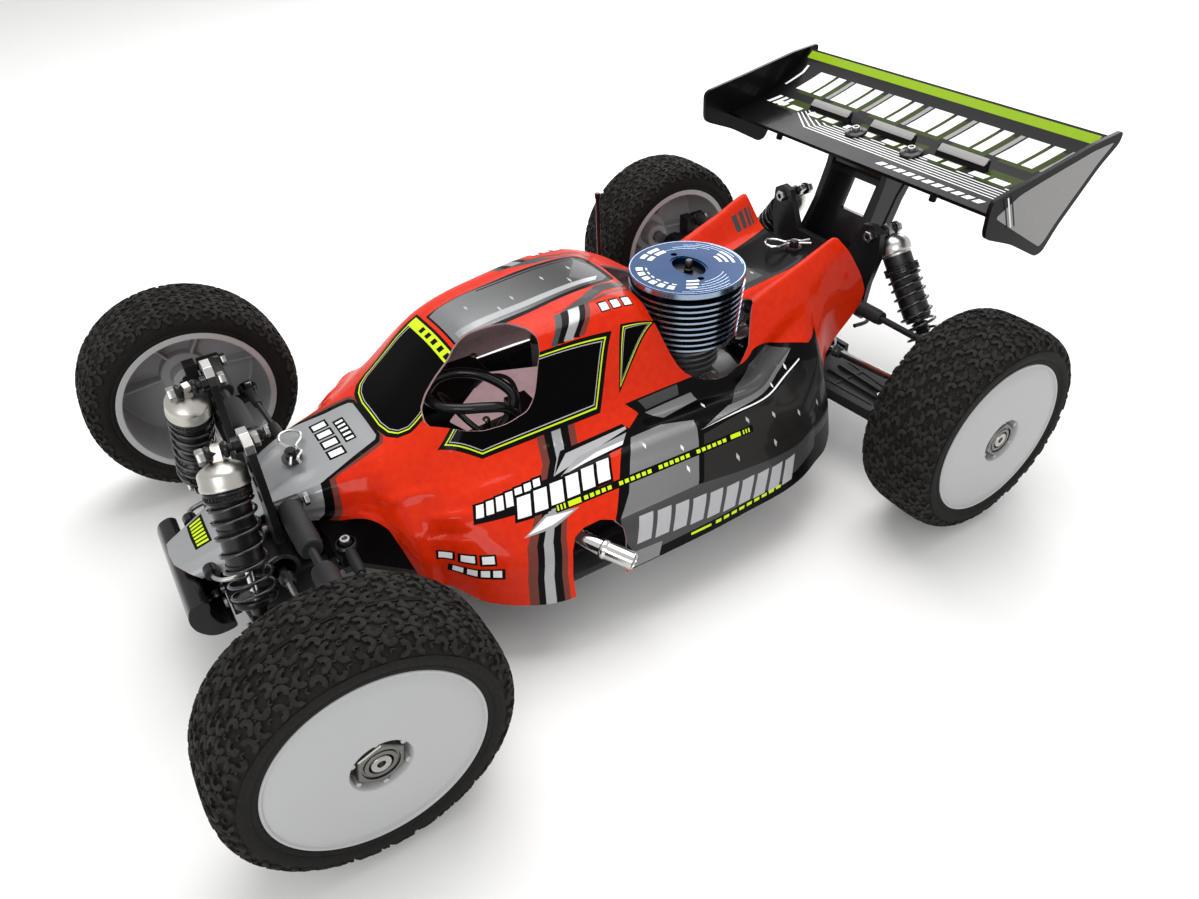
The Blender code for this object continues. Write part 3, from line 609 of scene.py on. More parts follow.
STATIONS = [
    (-201, (0, 54.5), (8, 54.2), (10.5, 53.4), (12.5, 52.6), (14.5, 51.8), (16, 51), (17, 50), (17.6, 49)),
    (-175, (0, 66), (14, 66), (17, 64), (19, 62), (21, 60), (22, 58), (23, 56), (24, 54)),
    (-150, (0, 77), (20, 77), (23, 75), (24.5, 72.5), (25, 70), (25, 68), (25, 66), (25, 64)),
    (-135, (0, 82), (24, 81), (27, 79), (29, 75), (30, 71), (30, 68), (31, 65.5), (31, 63)),
    (-118, (0, 86), (25, 85), (31, 82), (36, 77), (40, 71), (44, 67.5), (47, 65.5), (49, 63.5)),
    (-112, (0, 87.6), (26, 86.6), (34, 83.4), (41, 78.4), (51, 71.5), (61, 64.5), (68, 55), (70.5, 43)),
    (-103, (0, 90), (27, 89), (36, 86), (44, 81), (55, 74), (65, 66), (72, 54), (74, 40)),
    (-90, (0, 98), (28, 96), (41, 91), (50, 84), (63, 76), (74, 67), (84, 53), (88, 33)),
    (-62, (0, 121), (29, 119), (43, 108), (53, 86), (66, 77), (81, 67), (96, 52), (103, 30)),
    (-20, (0, 128), (34, 126), (43, 116), (55, 87), (68, 77), (84, 67), (99, 52), (105, 31)),
    (20, (0, 129), (36, 127), (45, 116), (56, 88), (70, 77), (86, 67), (101, 52), (106, 32)),
    (45, (0, 120), (36, 118), (46, 108), (57, 88), (72, 77), (87, 67), (101, 52), (105, 32)),
    (75, (0, 100), (34, 99), (46, 92), (58, 84), (72, 76), (86, 66), (98, 52), (103, 32)),
    (97, (0, 97), (26, 98), (38, 104), (48, 92), (62, 76), (80, 65), (91, 52), (96, 32)),
    (125, (0, 99), (24, 100), (37, 115), (44, 104), (54, 84), (67, 66), (75, 50), (79, 32)),
    (133, (0, 100), (24, 101), (37, 118), (44, 106), (49, 88), (56, 74), (60, 66), (62, 58)),
    (150, (0, 103), (24, 104), (37, 125), (42.5, 116), (45, 98), (46, 84), (47, 72), (48, 62)),
    (168, (0, 104), (24, 105), (37, 125), (43, 116), (45.5, 101), (46, 90), (46, 82), (46, 77)),
]
NOSE_EDGE = (-204, -203.4, -201.8, -200.4, -199, -197.5, -196, -195)  # Y of the first station's points
REAR_EDGE = (160, 158, 153.5, 160, 169, 174, 172, 168)  # and of the last one's
NET_START, NET_END = STATIONS[0][0], STATIONS[-1][0]
CORNER = 0.28  # how far each feature line's rounding reaches, as a share of the gap
V_SCALE = 17.0  # about how many millimetres one feature point is from the next


def station_rows():
    rows = []
    for y, *half in STATIONS:
        edge = {NET_START: NOSE_EDGE, NET_END: REAR_EDGE}.get(y, [y] * len(half))
        rows.append([Vector((x, edge[i], z)) for i, (x, z) in enumerate(half)])
    return [s[0] for s in STATIONS], rows


PLACES, ROWS = station_rows()
ROW_CACHE = {}


def body_row(u):
    """The eight feature points of the section at u, on smooth lines through the stations."""
    u = round(min(max(u, NET_START), NET_END), 3)
    if u in ROW_CACHE:
        return ROW_CACHE[u]
    k = max(0, min(len(PLACES) - 2, sum(u >= p for p in PLACES) - 1))
    step = PLACES[k + 1] - PLACES[k]
    t = (u - PLACES[k]) / step
    found = []
    for i in range(8):
        a, b = ROWS[k][i], ROWS[k + 1][i]
        first = (b - a) / step if k == 0 else (b - ROWS[k - 1][i]) / (PLACES[k + 1] - PLACES[k - 1])
        at_end = k + 2 == len(PLACES)
        second = (b - a) / step if at_end else (ROWS[k + 2][i] - a) / (PLACES[k + 2] - PLACES[k])
        found.append(a * (2 * t**3 - 3 * t**2 + 1) + first * step * (t**3 - 2 * t**2 + t)
                     + b * (3 * t**2 - 2 * t**3) + second * step * (t**3 - t**2))
    ROW_CACHE[u] = found
    return found


def net_point(u, v):
    """A point of the body net. v runs from 0 at the crown to 7 at the lower edge, negative on the right."""
    row = body_row(u)
    side = -1 if v < 0 else 1
    v = min(abs(v), 7.0)
    k = min(6, int(v))
    near = round(v)
    corner = CORNER * min(1.0, max(0.4, (u + 126) / 20))  # the bonnet's edges are sharper
    if abs(v - near) < corner and near < 7:
        before = row[near - 1] if near else Vector((-row[1].x, row[1].y, row[1].z))
        a, b = row[near].lerp(before, corner), row[near].lerp(row[near + 1], corner)
        w = (v - near + corner) / (2 * corner)
        point = a * (1 - w) ** 2 + row[near] * 2 * w * (1 - w) + b * w * w
    else:
        point = row[k].lerp(row[k + 1], v - k)
    return Vector((point.x * side, point.y, point.z))


def bump_at(u, v, u0, v0, u_reach, v_reach):
    """A smooth mound, 1 at its middle and 0 beyond its reach."""
    away = math.hypot((u - u0) / u_reach, (v - v0) / v_reach)
    return (math.cos(math.pi * away) + 1) / 2 if away < 1 else 0.0


def relief(u, v):
    """What is pressed into the shell, in millimetres along its normal."""
    v = abs(v)
    height = 1.8 * bump_at(u, v, -147, 0.62, 15, 0.22)
    height += 1.6 * bump_at(u, v, -94, 4.55, 15, 0.30) - 1.5 * bump_at(u, v, -96, 5.1, 13, 0.22)
    height += 1.2 * bump_at(u, v, -104, 3.6, 16, 0.35)
    # the channel under the engine cover's edge and along the pod's top
    if 6 < u < 128:
        ends = min(1.0, (u - 6) / 6, (128 - u) / 20)
        height -= 3.2 * ends * bump_at(0, v, 0, 3.62, 1, 0.42)
    # the shallow step along the flank, and the seam across the pod
    if -40 < u < 112:
        ends = min(1.0, (u + 40) / 15, (112 - u) / 15)
        height += 0.9 * ends * bump_at(0, v, 0, 4.42, 1, 0.16)
        height -= 0.7 * ends * bump_at(0, v, 0, 5.72, 1, 0.10)
    # the roof's raised middle
    if -60 < u < 32:
        ends = min(1.0, (u + 60) / 5, (32 - u) / 8)
        height += 1.1 * ends * min(1.0, max(0.0, (0.62 - v) / 0.08))
    # flank creases behind the front wheel
    height += 0.8 * bump_at(u, v, -72, 4.0, 20, 0.2)
    return height


def body_point(u, v):
    here = net_point(u, v)
    height = relief(u, v)
    if abs(height) > 1e-6:
        along = net_point(u + 0.6, v) - net_point(u - 0.6, v)
        across = net_point(u, v + 0.03) - net_point(u, v - 0.03)
        normal = along.cross(across)
        if normal.length > 1e-9:
            normal.normalize()
            if normal.z < 0 and abs(v) < 5 or normal.x * v < 0 and abs(v) >= 5:
                normal = -normal
            here = here + normal * height
    return here


def signed_area(outline):
    return sum(a[0] * b[1] - b[0] * a[1] for a, b in zip(outline, [*outline[1:], outline[0]])) / 2


def leftward(outline):
    """The outline run anticlockwise, as the triangulation needs."""
    return outline if signed_area(outline) > 0 else outline[::-1]


def dense(outline, step=2.2):
    """The outline, anticlockwise, with points no further apart than the step, in millimetres."""
    outline = leftward(outline)
    found = []
    for a, b in zip(outline, [*outline[1:], outline[0]]):
        a, b = Vector(a), Vector(b)
        parts = max(1, math.ceil((b - a).length / step))
        found += [a.lerp(b, i / parts) for i in range(parts)]
    return found


def painted(surface, low, high, steps, regions, base, openings=(), flip=False):
    """A surface cut exactly along the edges of its painted regions.

    The surface takes the flat layout's two numbers, in millimetres. Later regions lie over earlier
    ones; openings are left out. It returns points, faces and a material key for each face.
    """
    flat = []
    for i in range(steps[0] + 1):
        for j in range(steps[1] + 1):
            flat.append(Vector((low[0] + (high[0] - low[0]) * i / steps[0],
                                low[1] + (high[1] - low[1]) * j / steps[1])))
    rings = [[Vector((x, y)) for x, y in ((low[0], low[1]), (high[0], low[1]), (high[0], high[1]),
                                          (low[0], high[1]))]]
    rings[0] = dense(rings[0])
    rings += [dense(outline) for _, outline in regions] + [dense(outline) for outline in openings]
    owners_of = []
    for ring in rings:
        owners_of.append(list(range(len(flat), len(flat) + len(ring))))
        flat += ring
    verts, _, tris, _, _, owners = delaunay_2d_cdt(flat, [], owners_of, 0, 1e-5)
    first_opening = 1 + len(regions)
    faces, keys = [], []
    for tri, owner in zip(tris, owners):
        if 0 not in owner or max(owner) >= first_opening:
            continue
        faces.append(tuple(tri))
        keys.append(regions[max(owner) - 1][0] if max(owner) else base)
    used = sorted({i for f in faces for i in f})
    number = {old: new for new, old in enumerate(used)}
    points = [surface(verts[i].x, verts[i].y) for i in used]
    way = -1 if flip else 1
    return points, [tuple(number[i] for i in f[::way]) for f in faces], keys


def sheet_piece(name, body, layers, wall, inner, nodes):
    """A thin-walled piece from painted surfaces; its inner side has a material of its own."""
    mesh = bpy.data.meshes.new(name)
    points, faces, keys = layers
    mesh.from_pydata([place(p) for p in points], [], faces)
    used = sorted(set(keys))
    for key in [*used, inner]:
        mesh.materials.append(MAT[key])
    mesh.polygons.foreach_set("material_index", [used.index(k) for k in keys])
    mesh.shade_smooth()
    obj = bpy.data.objects.new(name, mesh)
    bpy.context.scene.collection.objects.link(obj)
    solid = obj.modifiers.new("Wall", "SOLIDIFY")
    solid.thickness = wall * MM
    solid.offset = -1.0  # the wall grows inwards
    solid.material_offset = len(used)
    solid.material_offset_rim = len(used)
    split = obj.modifiers.new("Rims", "EDGE_SPLIT")
    split.split_angle = math.radians(50)
    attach(obj, body)
    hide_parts(*nodes)
    return obj


def flat_uv(points, sides=(1,)):
    """Outlines in the body's layout, for each side asked for."""
    return [[(u, v * side * V_SCALE) for u, v in points] for side in sides]


BOTH = (1, -1)


def outlined(layers, points, sides=BOTH):
    """Regions for an outline drawn in bands: (material, how far in its edge lies)."""
    found = []
    for outline in flat_uv(points, sides):
        for key, distance in layers:
            found.append((key, inset(outline, distance) if distance else outline))
    return found


def block(u, v, length, height, lean=0.35):
    """A leaning bar, as on racing decals: u along, v down the side."""
    return [(u, v), (u + length, v), (u + length - lean * height * V_SCALE, v + height),
            (u - lean * height * V_SCALE, v + height)]


def diamond(u, v, size):
    """A small plain diamond: half as wide as it is tall."""
    tall = size / V_SCALE
    return [(u, v), (u + size * 0.25, v + tall / 2), (u, v + tall), (u - size * 0.25, v + tall / 2)]


def body_regions():
    found = []

    def fill(key, points, sides=BOTH):
        found.extend((key, outline) for outline in flat_uv(points, sides))

    def centred(key, half):
        """A region across the crown, from its left half."""
        outline = half + [(u, -v) for u, v in reversed(half)]
        fill(key, outline, (1,))

    # bonnet: silver with a black border and a dark edge
    centred("dark_red",
            [(-201, 7.2), (-134.5, 7.2), (-131.5, 5.4), (-129.5, 1.35), (-126.0, 1.12), (-104.6, 0.86),
             (-102.6, 0.7), (-102.6, 0.4)])
    centred("black",
            [(-201, 7.2), (-138, 7.2), (-134.5, 5.4), (-132, 1.2), (-128.0, 1.02), (-105.4, 0.77),
             (-103.4, 0.62), (-103.4, 0.4)])
    centred("silver",
            [(-201, 7.2), (-142, 7.2), (-138.5, 5.4), (-136, 1.1), (-132.5, 0.98), (-128.5, 0.92),
             (-106.4, 0.66), (-104.9, 0.58), (-104.9, 0.4)])
    for i in range(4):
        v = -0.62 + 0.33 * i
        fill("black", [(-127.6, v - 0.07), (-119.4, v - 0.02), (-119.4, v + 0.26), (-127.6, v + 0.21)], (1,))
        fill("white", [(-126.6, v - 0.01), (-120.4, v + 0.03), (-120.4, v + 0.20), (-126.6, v + 0.16)], (1,))
    fill("black", [(-117.6, -0.42), (-112.4, -0.38), (-112.4, 0.38), (-117.6, 0.36)], (1,))
    for i in range(5):
        v = -0.34 + 0.145 * i
        fill("white", [(-116.8, v), (-113.2, v + 0.02), (-113.2, v + 0.09), (-116.8, v + 0.07)], (1,))
    # nose mark
    fill("black", [(-191.5, -0.9), (-184.5, -0.9), (-184.5, 0.9), (-191.5, 0.9)], (1,))
    for i in range(7):
        v = -0.80 + 0.235 * i
        fill("lime", [(-190.4, v), (-185.6, v + 0.03), (-185.6, v + 0.17), (-190.4, v + 0.14)], (1,))

    # windscreen
    half = [(-62.3, 0.86), (-74, 1.02), (-86, 1.13), (-93, 1.14), (-98.5, 1.0), (-102, 0.76), (-103.6, 0.42)]
    screen = half + [(u, -v) for u, v in reversed(half)]
    found.extend(outlined([("black", 0), ("lime", 1.9), ("black", 2.5), ("line", 3.2), ("glass", 3.55)],
                          screen, (1,)))
    fill("lime", [(-63.6, 0.80), (-63.6, -0.80), (-68.2, -0.84), (-68.2, 0.84)], (1,))
    for i in range(5):
        fill("black",
             [(-64.6, -0.42 + i * 0.24), (-67.2, -0.44 + i * 0.24), (-67.2, -0.32 + i * 0.24),
              (-64.6, -0.30 + i * 0.24)], (1,))

    # side windows
    side = [(-87, 2.28), (-70.4, 3.14), (-9.5, 3.12), (7.0, 1.83), (-31.3, 1.64), (-58, 1.66), (-77, 1.95)]
    found.extend(outlined([("black", 0), ("lime", 1.9), ("black", 2.5), ("line", 3.2), ("glass", 3.55)],
                          side))
    quarter = [(12.4, 1.70), (32.0, 1.76), (3.0, 2.90)]
    found.extend(outlined([("black", 0), ("lime", 1.4), ("black", 1.95), ("line", 2.5), ("glass", 2.8)],
                          quarter))

    # roof
    centred("black", [(-60.6, 0.60), (-40, 0.60), (22, 0.47), (27.5, 0.38), (27.5, 0.2)])
    centred("roof", [(-59.6, 0.53), (-40, 0.53), (20, 0.41), (24, 0.33), (24, 0.2)])
    fill("silver", [(-57, 0.30), (-57, 0.46), (17, 0.36), (20, 0.27)], (1,))
    fill("black", [(-34, -0.48), (23, -0.36), (23, -0.34), (-34, -0.45)], (1,))
    for u, v in ((-45, -0.2), (-24, 0.02), (-4, -0.16), (6, 0.12), (-33, 0.16), (12, -0.2)):
        fill("line", diamond(u, v, 2.6), (1,))
    # bands across the roof's edge down to the side window
    for key, top, bottom in (("grey", (-15, -11.5), (-24, -20.7)), ("black", (-11.5, -7.6), (-20.7, -17.4)),
                             ("silver", (-7.6, -1.8), (-17.4, -12.4)), ("black", (-1.8, 1.2), (-12.4, -9.3)),
                             ("dark_red", (1.2, 3.6), (-9.3, -6.6))):
        fill(key, [(top[0], 0.80), (top[1], 0.80), (bottom[1], 1.70), (bottom[0], 1.64)])
    fill("grey", [(-12, 0.80), (14, 0.50), (34, 0.50), (34, 0.60), (16, 0.62), (3.6, 0.80)])
    fill("dark_red", [(3.6, 0.80), (16, 0.66), (30, 0.66), (30, 0.72), (18, 0.72), (8, 0.80)])
    for i in range(3):
        fill("black", block(6.5 + i * 6.2, 0.86, 5.2, 0.30, 0.2))
        fill("white", block(7.1 + i * 6.2, 0.90, 4.0, 0.22, 0.2))

    # bands down the flank behind the front wheel
    lanes = [("dark_red", 0), ("black", 1), ("silver", 2), ("black", 3), ("dark_red", 4)]
    levels = [(3.12, (-43.4, -39.6, -35.8, -31.0, -27.1, -23.6)),
              (3.9, (-46.5, -42.8, -39.2, -34.6, -30.8, -27.4)),
              (4.9, (-58.6, -55.2, -52.2, -48.6, -45.6, -42.8)),
              (5.7, (-69.6, -65.2, -62.2, -57.8, -54.2, -51.4)),
              (6.4, (-73.2, -69.2, -66.4, -62.0, -58.4, -55.6)),
              (7.2, (-75.4, -71.6, -68.8, -64.2, -60.4, -57.6))]
    for key, lane in lanes:
        near = [(cut[lane], v) for v, cut in levels]
        far = [(cut[lane + 1], v) for v, cut in levels]
        fill(key, near + far[::-1])
    fill("silver", [(-69, 5.46), (-56, 5.1), (-40, 5.2), (-54, 5.42)])
    fill("white", [(-67, 5.42), (-56, 5.16), (-43, 5.22), (-55, 5.36)])

    # streaks along the shoulder
    fill("black", [(-46, 4.45), (-36, 3.72), (-2, 3.62), (2, 3.95), (-3, 4.2)])
    fill("line", [(-44, 4.30), (-34, 3.84), (-1, 3.72), (-1, 3.80)])
    fill("silver", [(-42, 4.38), (-30, 4.06), (0, 3.88), (0, 4.04)])
    fill("white", [(-36, 4.30), (-20, 4.10), (-2, 4.06), (-2, 4.14)])

    # rows of equal leaning bars on the flank
    def bars(key, u, v, slope, sizes, height, lean, rim=0.0, gap=1.5):
        for wide, share in sizes:
            tall = height * share
            low = v + (height - tall) / 2
            grown = rim / V_SCALE
            if rim:
                fill("black",
                     block(u - rim + lean * grown * V_SCALE, low - grown, wide + 2 * rim, tall + 2 * grown,
                           lean))
            fill(key, block(u, low, wide, tall, lean))
            u, v = u + wide + gap, v + slope * (wide + gap)

    small = [(3.4, 1)] * 7
    bars("black", -83.6, 4.30, -0.0055, [(42, 1)], 0.60, 0.3)
    bars("white", -82.4, 4.36, -0.0055, small, 0.38, 0.35, 1.0, 1.3)
    large = [(6.4, 1)] * 6
    bars("white", -64.5, 4.50, -0.0035, large, 0.52, 0.42, 1.3, 1.9)
    for i in range(3):
        fill("black", block(-104 + i * 7.4, 5.66 + i * 0.03, 6.6, 0.30, 0.2))
        fill("white", block(-103.2 + i * 7.4, 5.71 + i * 0.03, 4.8, 0.20, 0.2))
    fill("black", block(-101, 6.10, 20, 0.26, 0.2))
    for i in range(4):
        fill("white", block(-99.6 + i * 4.6, 6.14, 3.4, 0.17, 0.2))

    # side pod: black recess under the cover's edge, silver front, charcoal rear
    fill("black",
         [(4, 3.14), (36, 3.10), (66, 3.02), (86, 3.06), (100, 3.45), (122, 4.2), (131, 4.2), (131, 7.2),
          (-24, 7.2),
                   (-28, 5.9), (-21, 5.35), (-9, 4.3), (-2, 3.9), (9, 3.5)])
    fill("grey", [(11, 3.18), (34, 3.14), (33, 3.40), (14, 3.46)])
    fill("pod", [(13, 3.52), (40, 3.44), (42, 3.66), (20, 3.86)])
    fill("pod",
         [(-1, 4.06), (16, 4.02), (33, 4.20), (31.5, 4.56), (29.5, 4.79), (20, 5.72), (-24, 5.80),
          (-15, 5.32)])
    fill("charcoal",
         [(34, 4.66), (60, 4.46), (112, 4.36), (126, 4.7), (126, 6.3), (88, 6.3), (23, 5.72), (32, 4.85)])
    fill("grey", [(79, 3.22), (97, 3.42), (110, 3.94), (100, 4.04), (56, 4.14), (66, 3.60)])
    fill("pod", [(110, 3.94), (101, 4.08), (62, 4.30), (36, 4.50), (54, 4.14), (100, 3.99)])
    fill("white", [(33, 4.53), (60, 4.37), (112, 4.27), (112, 4.31), (60, 4.42)])
    fill("grey",
         [(-24, 5.78), (20, 5.72), (87, 6.05), (103, 6.0), (100, 6.55), (80, 6.68), (-20, 6.78), (-26, 6.2)])
    shapes = [(7.6, 1)] * 10
    bars("line", -15, 5.88, 0.0036, shapes, 0.60, 0.42, 0.0, 2.2)
    fill("pod", [(-26, 6.62), (-6, 6.66), (-9, 6.98), (-26, 6.98)])
    fill("lime", [(10, 6.80), (22, 6.80), (22, 6.86), (10, 6.86)])
    for i in range(9):
        fill("lime", block(25 + i * 5.0, 6.79 - i * 0.006, 3.4, 0.08, 0.2))
    # lime bar with ticks
    fill("black", [(-51, 5.16), (-48, 4.97), (61, 4.90), (60, 5.09)])
    for i in range(3):
        fill("lime", block(-49.6 + i * 1.7, 5.00, 0.8, 0.12, 0.25))
        fill("lime", block(54.2 + i * 1.7, 4.95, 0.8, 0.11, 0.25))
    fill("lime", block(-44, 5.00, 6.5, 0.12, 0.25))
    fill("lime", block(46.5, 4.95, 6.2, 0.11, 0.25))
    for i in range(26):
        if i % 7 != 5:
            fill("lime", block(-36 + i * 3.1, 5.015 - i * 0.0018, 2.1, 0.09, 0.25))
    for u, v in ((2.8, 4.3), (18, 5.22), (42, 3.80), (101, 4.06), (85.5, 4.12), (20, 4.7)):
        fill("white", diamond(u, v, 3.2))
    for u, v in ((45.6, 5.40), (59.8, 4.62), (93.4, 5.20), (112, 5.4), (76, 4.8), (70, 5.5)):
        fill("line", diamond(u, v, 3.8))

    # rear deck
    centred("black", [(101, 0.80), (131, 0.80), (158, 0.95), (173, 1.0), (173, 0.4)])
    centred("charcoal", [(106, 0.55), (126, 0.58), (126, 0.2)])
    for i in range(3):
        fill("line", diamond(112 + i * 6, -0.3 + i * 0.25, 2.8), (1,))
    for i in range(4):
        fill("grey", block(140 + i * 4.5, 1.2, 3.2, 0.45, 0.1))
    return found


def plan_opening():
    """The engine's opening, from its outline seen from above."""
    reach = 30.2  # the opening's radius round the engine head
    arc = [math.radians(-96 + 121 * i / 16) for i in range(17)]
    outline = [(-6, 31), (4, 29.6),
               (18, 28.8)] + [(HEAD_X + reach * math.cos(a), HEAD_Y + reach * math.sin(a)) for a in arc]
    outline += [(58.6, 74), (52, 85), (43, 93), (38, 98), (30, 100), (0, 100.5), (-6, 98)]
    found = []
    for x, y in dense(outline, 3.0):
        low, high = -2.9, 3.6
        for _ in range(40):
            v = (low + high) / 2
            if net_point(y, v).x < x:
                low = v
            else:
                high = v
        found.append((y, v * V_SCALE))
    return found


def body_openings():
    found = [plan_opening()]
    hole = [(-66.8, 0.66), (-61, 0.50), (-55.5, 0.45), (-44, 0.52), (-34.1, 0.60), (-29.6, 0.85),
            (-28.0, 1.18), (-30, 1.7),
            (-35.7, 2.23), (-39, 2.45), (-43.5, 2.60), (-55, 2.66), (-66.1, 2.58), (-74.6, 2.32), (-81, 1.85),
            (-85.6, 1.45), (-86.4, 1.15), (-84.9, 0.86), (-81, 0.73), (-75, 0.68)]
    found += flat_uv(rounded(hole, 3))
    stinger = [(-55.2, 7.3), (-53.6, 6.5), (-51.0, 6.02), (-47.6, 5.76), (-42, 5.64), (-33, 5.62),
               (-27, 5.74), (-24.0, 6.0),
               (-24.2, 6.3), (-26.5, 6.7), (-28, 7.3)]
    found += flat_uv(stinger)
    found += flat_uv([(-174, 1.35), (-153.5, 1.35), (-153.5, 7.3), (-174, 7.3)], BOTH)
    return found


def body_shell():
    layers = painted(lambda u, v: body_point(u, v / V_SCALE), (NET_START, -7 * V_SCALE),
                     (NET_END, 7 * V_SCALE),
                     (150, 112), body_regions(), "red", body_openings(), True)
    sheet_piece("painted_body_shell", "chassis", layers, 1.0, "inner", ["body_shell"])


# Wheels and tyres

HALF_TRACK, AXLE_Z = 133.75, 56.5
FRONT_Y, REAR_Y = -163.5, 163.5
# across the tread from its middle: (distance across, radius)
TREAD = [(0, 55.35), (6, 55.3), (11, 55.0), (14.6, 54.3), (17.6, 53.0), (19.6, 51.2), (20.8, 48.6)]


def tread_point(s, lift):
    """A point (radius, across) on the tread at the arc length s from its middle, raised by the lift."""
    side = -1 if s < 0 else 1
    left = abs(s)
    for (u0, r0), (u1, r1) in zip(TREAD, TREAD[1:]):
        length = math.hypot(u1 - u0, r1 - r0)
        if left <= length or (u1, r1) == TREAD[-1]:
            t = left / length
            normal = (-(r1 - r0) / length, (u1 - u0) / length)
            return (r0 + (r1 - r0) * t + normal[1] * lift, side * (u0 + (u1 - u0) * t + normal[0] * lift))
        left -= length


def lug(angle, s, outline, height, y):
    """A raised block on the tread, from its outline around and across, in millimetres."""
    count = len(outline)
    points = []
    for lift, shrink in ((-0.4, 1.0), (height * 0.75, 0.97), (height, 0.86)):
        for along, across in outline:
            radius, u = tread_point(s + across * shrink, lift)
            turn = angle + along * shrink / 55.5
            points.append(Vector((HALF_TRACK + u, y + radius * math.cos(turn),
                                  AXLE_Z + radius * math.sin(turn))))
    faces = [tuple(range(2 * count, 3 * count))]
    for row in (0, count):
        faces += [(row + i, row + (i + 1) % count, row + count + (i + 1) % count,
                   row + count + i) for i in range(count)]
    return points, faces


def crescent(radius, width, spread, turn, stretch=1.0):
    """A horseshoe outline opening towards the turn."""
    outer = [(radius, math.radians(turn + 180 - spread / 2 + spread * i / 7)) for i in range(8)]
    inner = [(radius - width, math.radians(turn + 180 + spread / 2 - spread * i / 5)) for i in range(6)]
    return [(r * math.cos(a) * stretch, r * math.sin(a)) for r, a in outer + inner]


def tyre(end, side):
    y = FRONT_Y if end == "front" else REAR_Y
    centre = (HALF_TRACK, y, AXLE_Z)
    half = [(40.6, -18.4), (41.6, -20.3), (43.2, -21.0), (44.0, -20.7), (44.6, -21.2), (47.2, -21.45),
            (48.6, -21.3)]
    crown = [(r, -u) for u, r in reversed(TREAD[1:])]
    profile = half + crown + [(55.35, 0)] + [(r, -u) for r, u in reversed(half + crown)]
    piece = Piece(f"{end}_{side}_tyre_tread", f"{end}_{side}_wheel", "tyre", side == "right")
    piece.add("rubber", lathe(profile, centre, X_AXIS, 96))
    draw = random.Random(7)
    rows = [(-20.2, 46, 0.5), (-16.0, 46, 0.0), (-11.7, 46, 0.5), (-7.3, 46, 0.0), (-3.0, 46, 0.5),
            (3.0, 46, 0.0), (7.3, 46, 0.5), (11.7, 46, 0.0), (16.0, 46, 0.5), (20.2, 46, 0.0)]
    for number, (s, count, offset) in enumerate(rows):
        for i in range(count):
            angle = 2 * math.pi * (i + offset) / count
            turn = ((i + number) % 2) * 180 + (60 if (number + i // 2) % 3 == 0 else 0) + draw.uniform(-8, 8)
            # the lugs take the lighter rubber, a painted highlight on the raised blocks
            piece.add("lug", lug(angle, s, crescent(2.85, 1.75, 225, turn, 1.1), 1.1, y))
            piece.add("lug",
                      lug(angle + 0.5 * 2 * math.pi / count, s, crescent(1.0, 0.55, 200, turn + 120, 1.4),
                          0.9, y))
    for x in (-0.45, 0.45):
        piece.add("rubber", bead((HALF_TRACK + x, y, AXLE_Z), X_AXIS, 55.6, 0.42, 96, 8))
    piece.done(f"{end}_{side}_tyre", bevel=0, angle=45)


def wheel(end, side):
    y = FRONT_Y if end == "front" else REAR_Y
    centre = (HALF_TRACK, y, AXLE_Z)
    rim = Piece(f"{end}_{side}_rim_disc", f"{end}_{side}_wheel", "rim", side == "right")
    dish = [(11.4, 21.2), (11.9, 21.9), (13.2, 22.0), (24, 21.9), (34, 21.4), (38.4, 20.9), (39.6, 20.2),
            (40.1, 20.1),
            (40.6, 20.7), (41.3, 20.8), (41.6, 20.4), (41.4, 19.4), (40.6, 18.8), (39.8, 18.4), (39.6, 16)]
    barrel = [(39.6, -16), (39.8, -18.4), (41.0, -19.2), (41.6, -20.1), (41.2, -20.5), (38.4, -20.5),
              (38.0, -20.0),
              (38.0, 17.6), (36.8, 18.8), (20, 19.6), (13.4, 20.0), (13.2, 14.6), (12.6, 14.0), (8.4, 14.0),
              (8.2, 5.6),
              (7.6, 5.0), (4.2, 5.0), (4.1, 15.6)]
    recess = [(10.0, 15.6), (10.9, 16.0), (11.4, 16.8)]
    rim.add("rim", lathe(dish + barrel + recess, centre, X_AXIS, 96))
    for i in range(6):
        turn = 2 * math.pi * i / 6
        along = Vector((0, math.cos(turn), math.sin(turn)))
        across = Vector(X_AXIS).cross(along) * 0.8
        points = []
        for reach, depth in ((12.9, 14.6), (38.2, 10.5), (38.2, 18.6), (12.9, 20.2)):
            spot = Vector(centre) + along * reach + Vector((depth, 0, 0))
            points += [spot - across, spot + across]
        rim.add("rim", hull(points))
    for i in range(6):
        turn = 2 * math.pi * (i + 0.5) / 6
        spot = Vector(centre) + Vector((18.6, math.cos(turn) * 10.9, math.sin(turn) * 10.9))
        rim.add("rim", rod(spot - Vector((2.6, 0, 0)), spot + Vector((2.2, 0, 0)), 1.15, 10))
    rim.done(f"{end}_{side}_wheel", bevel=0.18)
    hub = Piece(f"{end}_{side}_wheel_nut", f"{end}_{side}_wheel", "steel", side == "right")
    hub.add("nut",
            lathe([(4.3, 15.2), (10.6, 15.2), (10.7, 16.4), (10.4, 16.9), (9.8, 16.9, 6), (9.9, 17.3, 6),
                   (9.9, 20.6, 6),
                          (9.3, 21.2, 6), (7.1, 21.25), (7.0, 20.2), (6.2, 20.1), (6.1, 21.0), (4.6, 21.1),
                          (4.4, 20.4)],
                         centre, X_AXIS, 60, 0.35))
    hub.add("steel",
            lathe([(0, 18.6), (1.3, 18.6), (1.6, 21.2), (3.6, 21.3), (3.9, 20.9), (3.9, -23.9), (3.5, -24.25),
                            (0, -24.25)], centre, X_AXIS, 36))
    hub.add("steel", lathe([(4.4, 5.2), (8.0, 5.2), (8.0, 13.8), (4.4, 13.8)], centre, X_AXIS, 6))
    hub.done(bevel=0.15)


# Suspension corners: each is drawn on the left and mirrored for the right


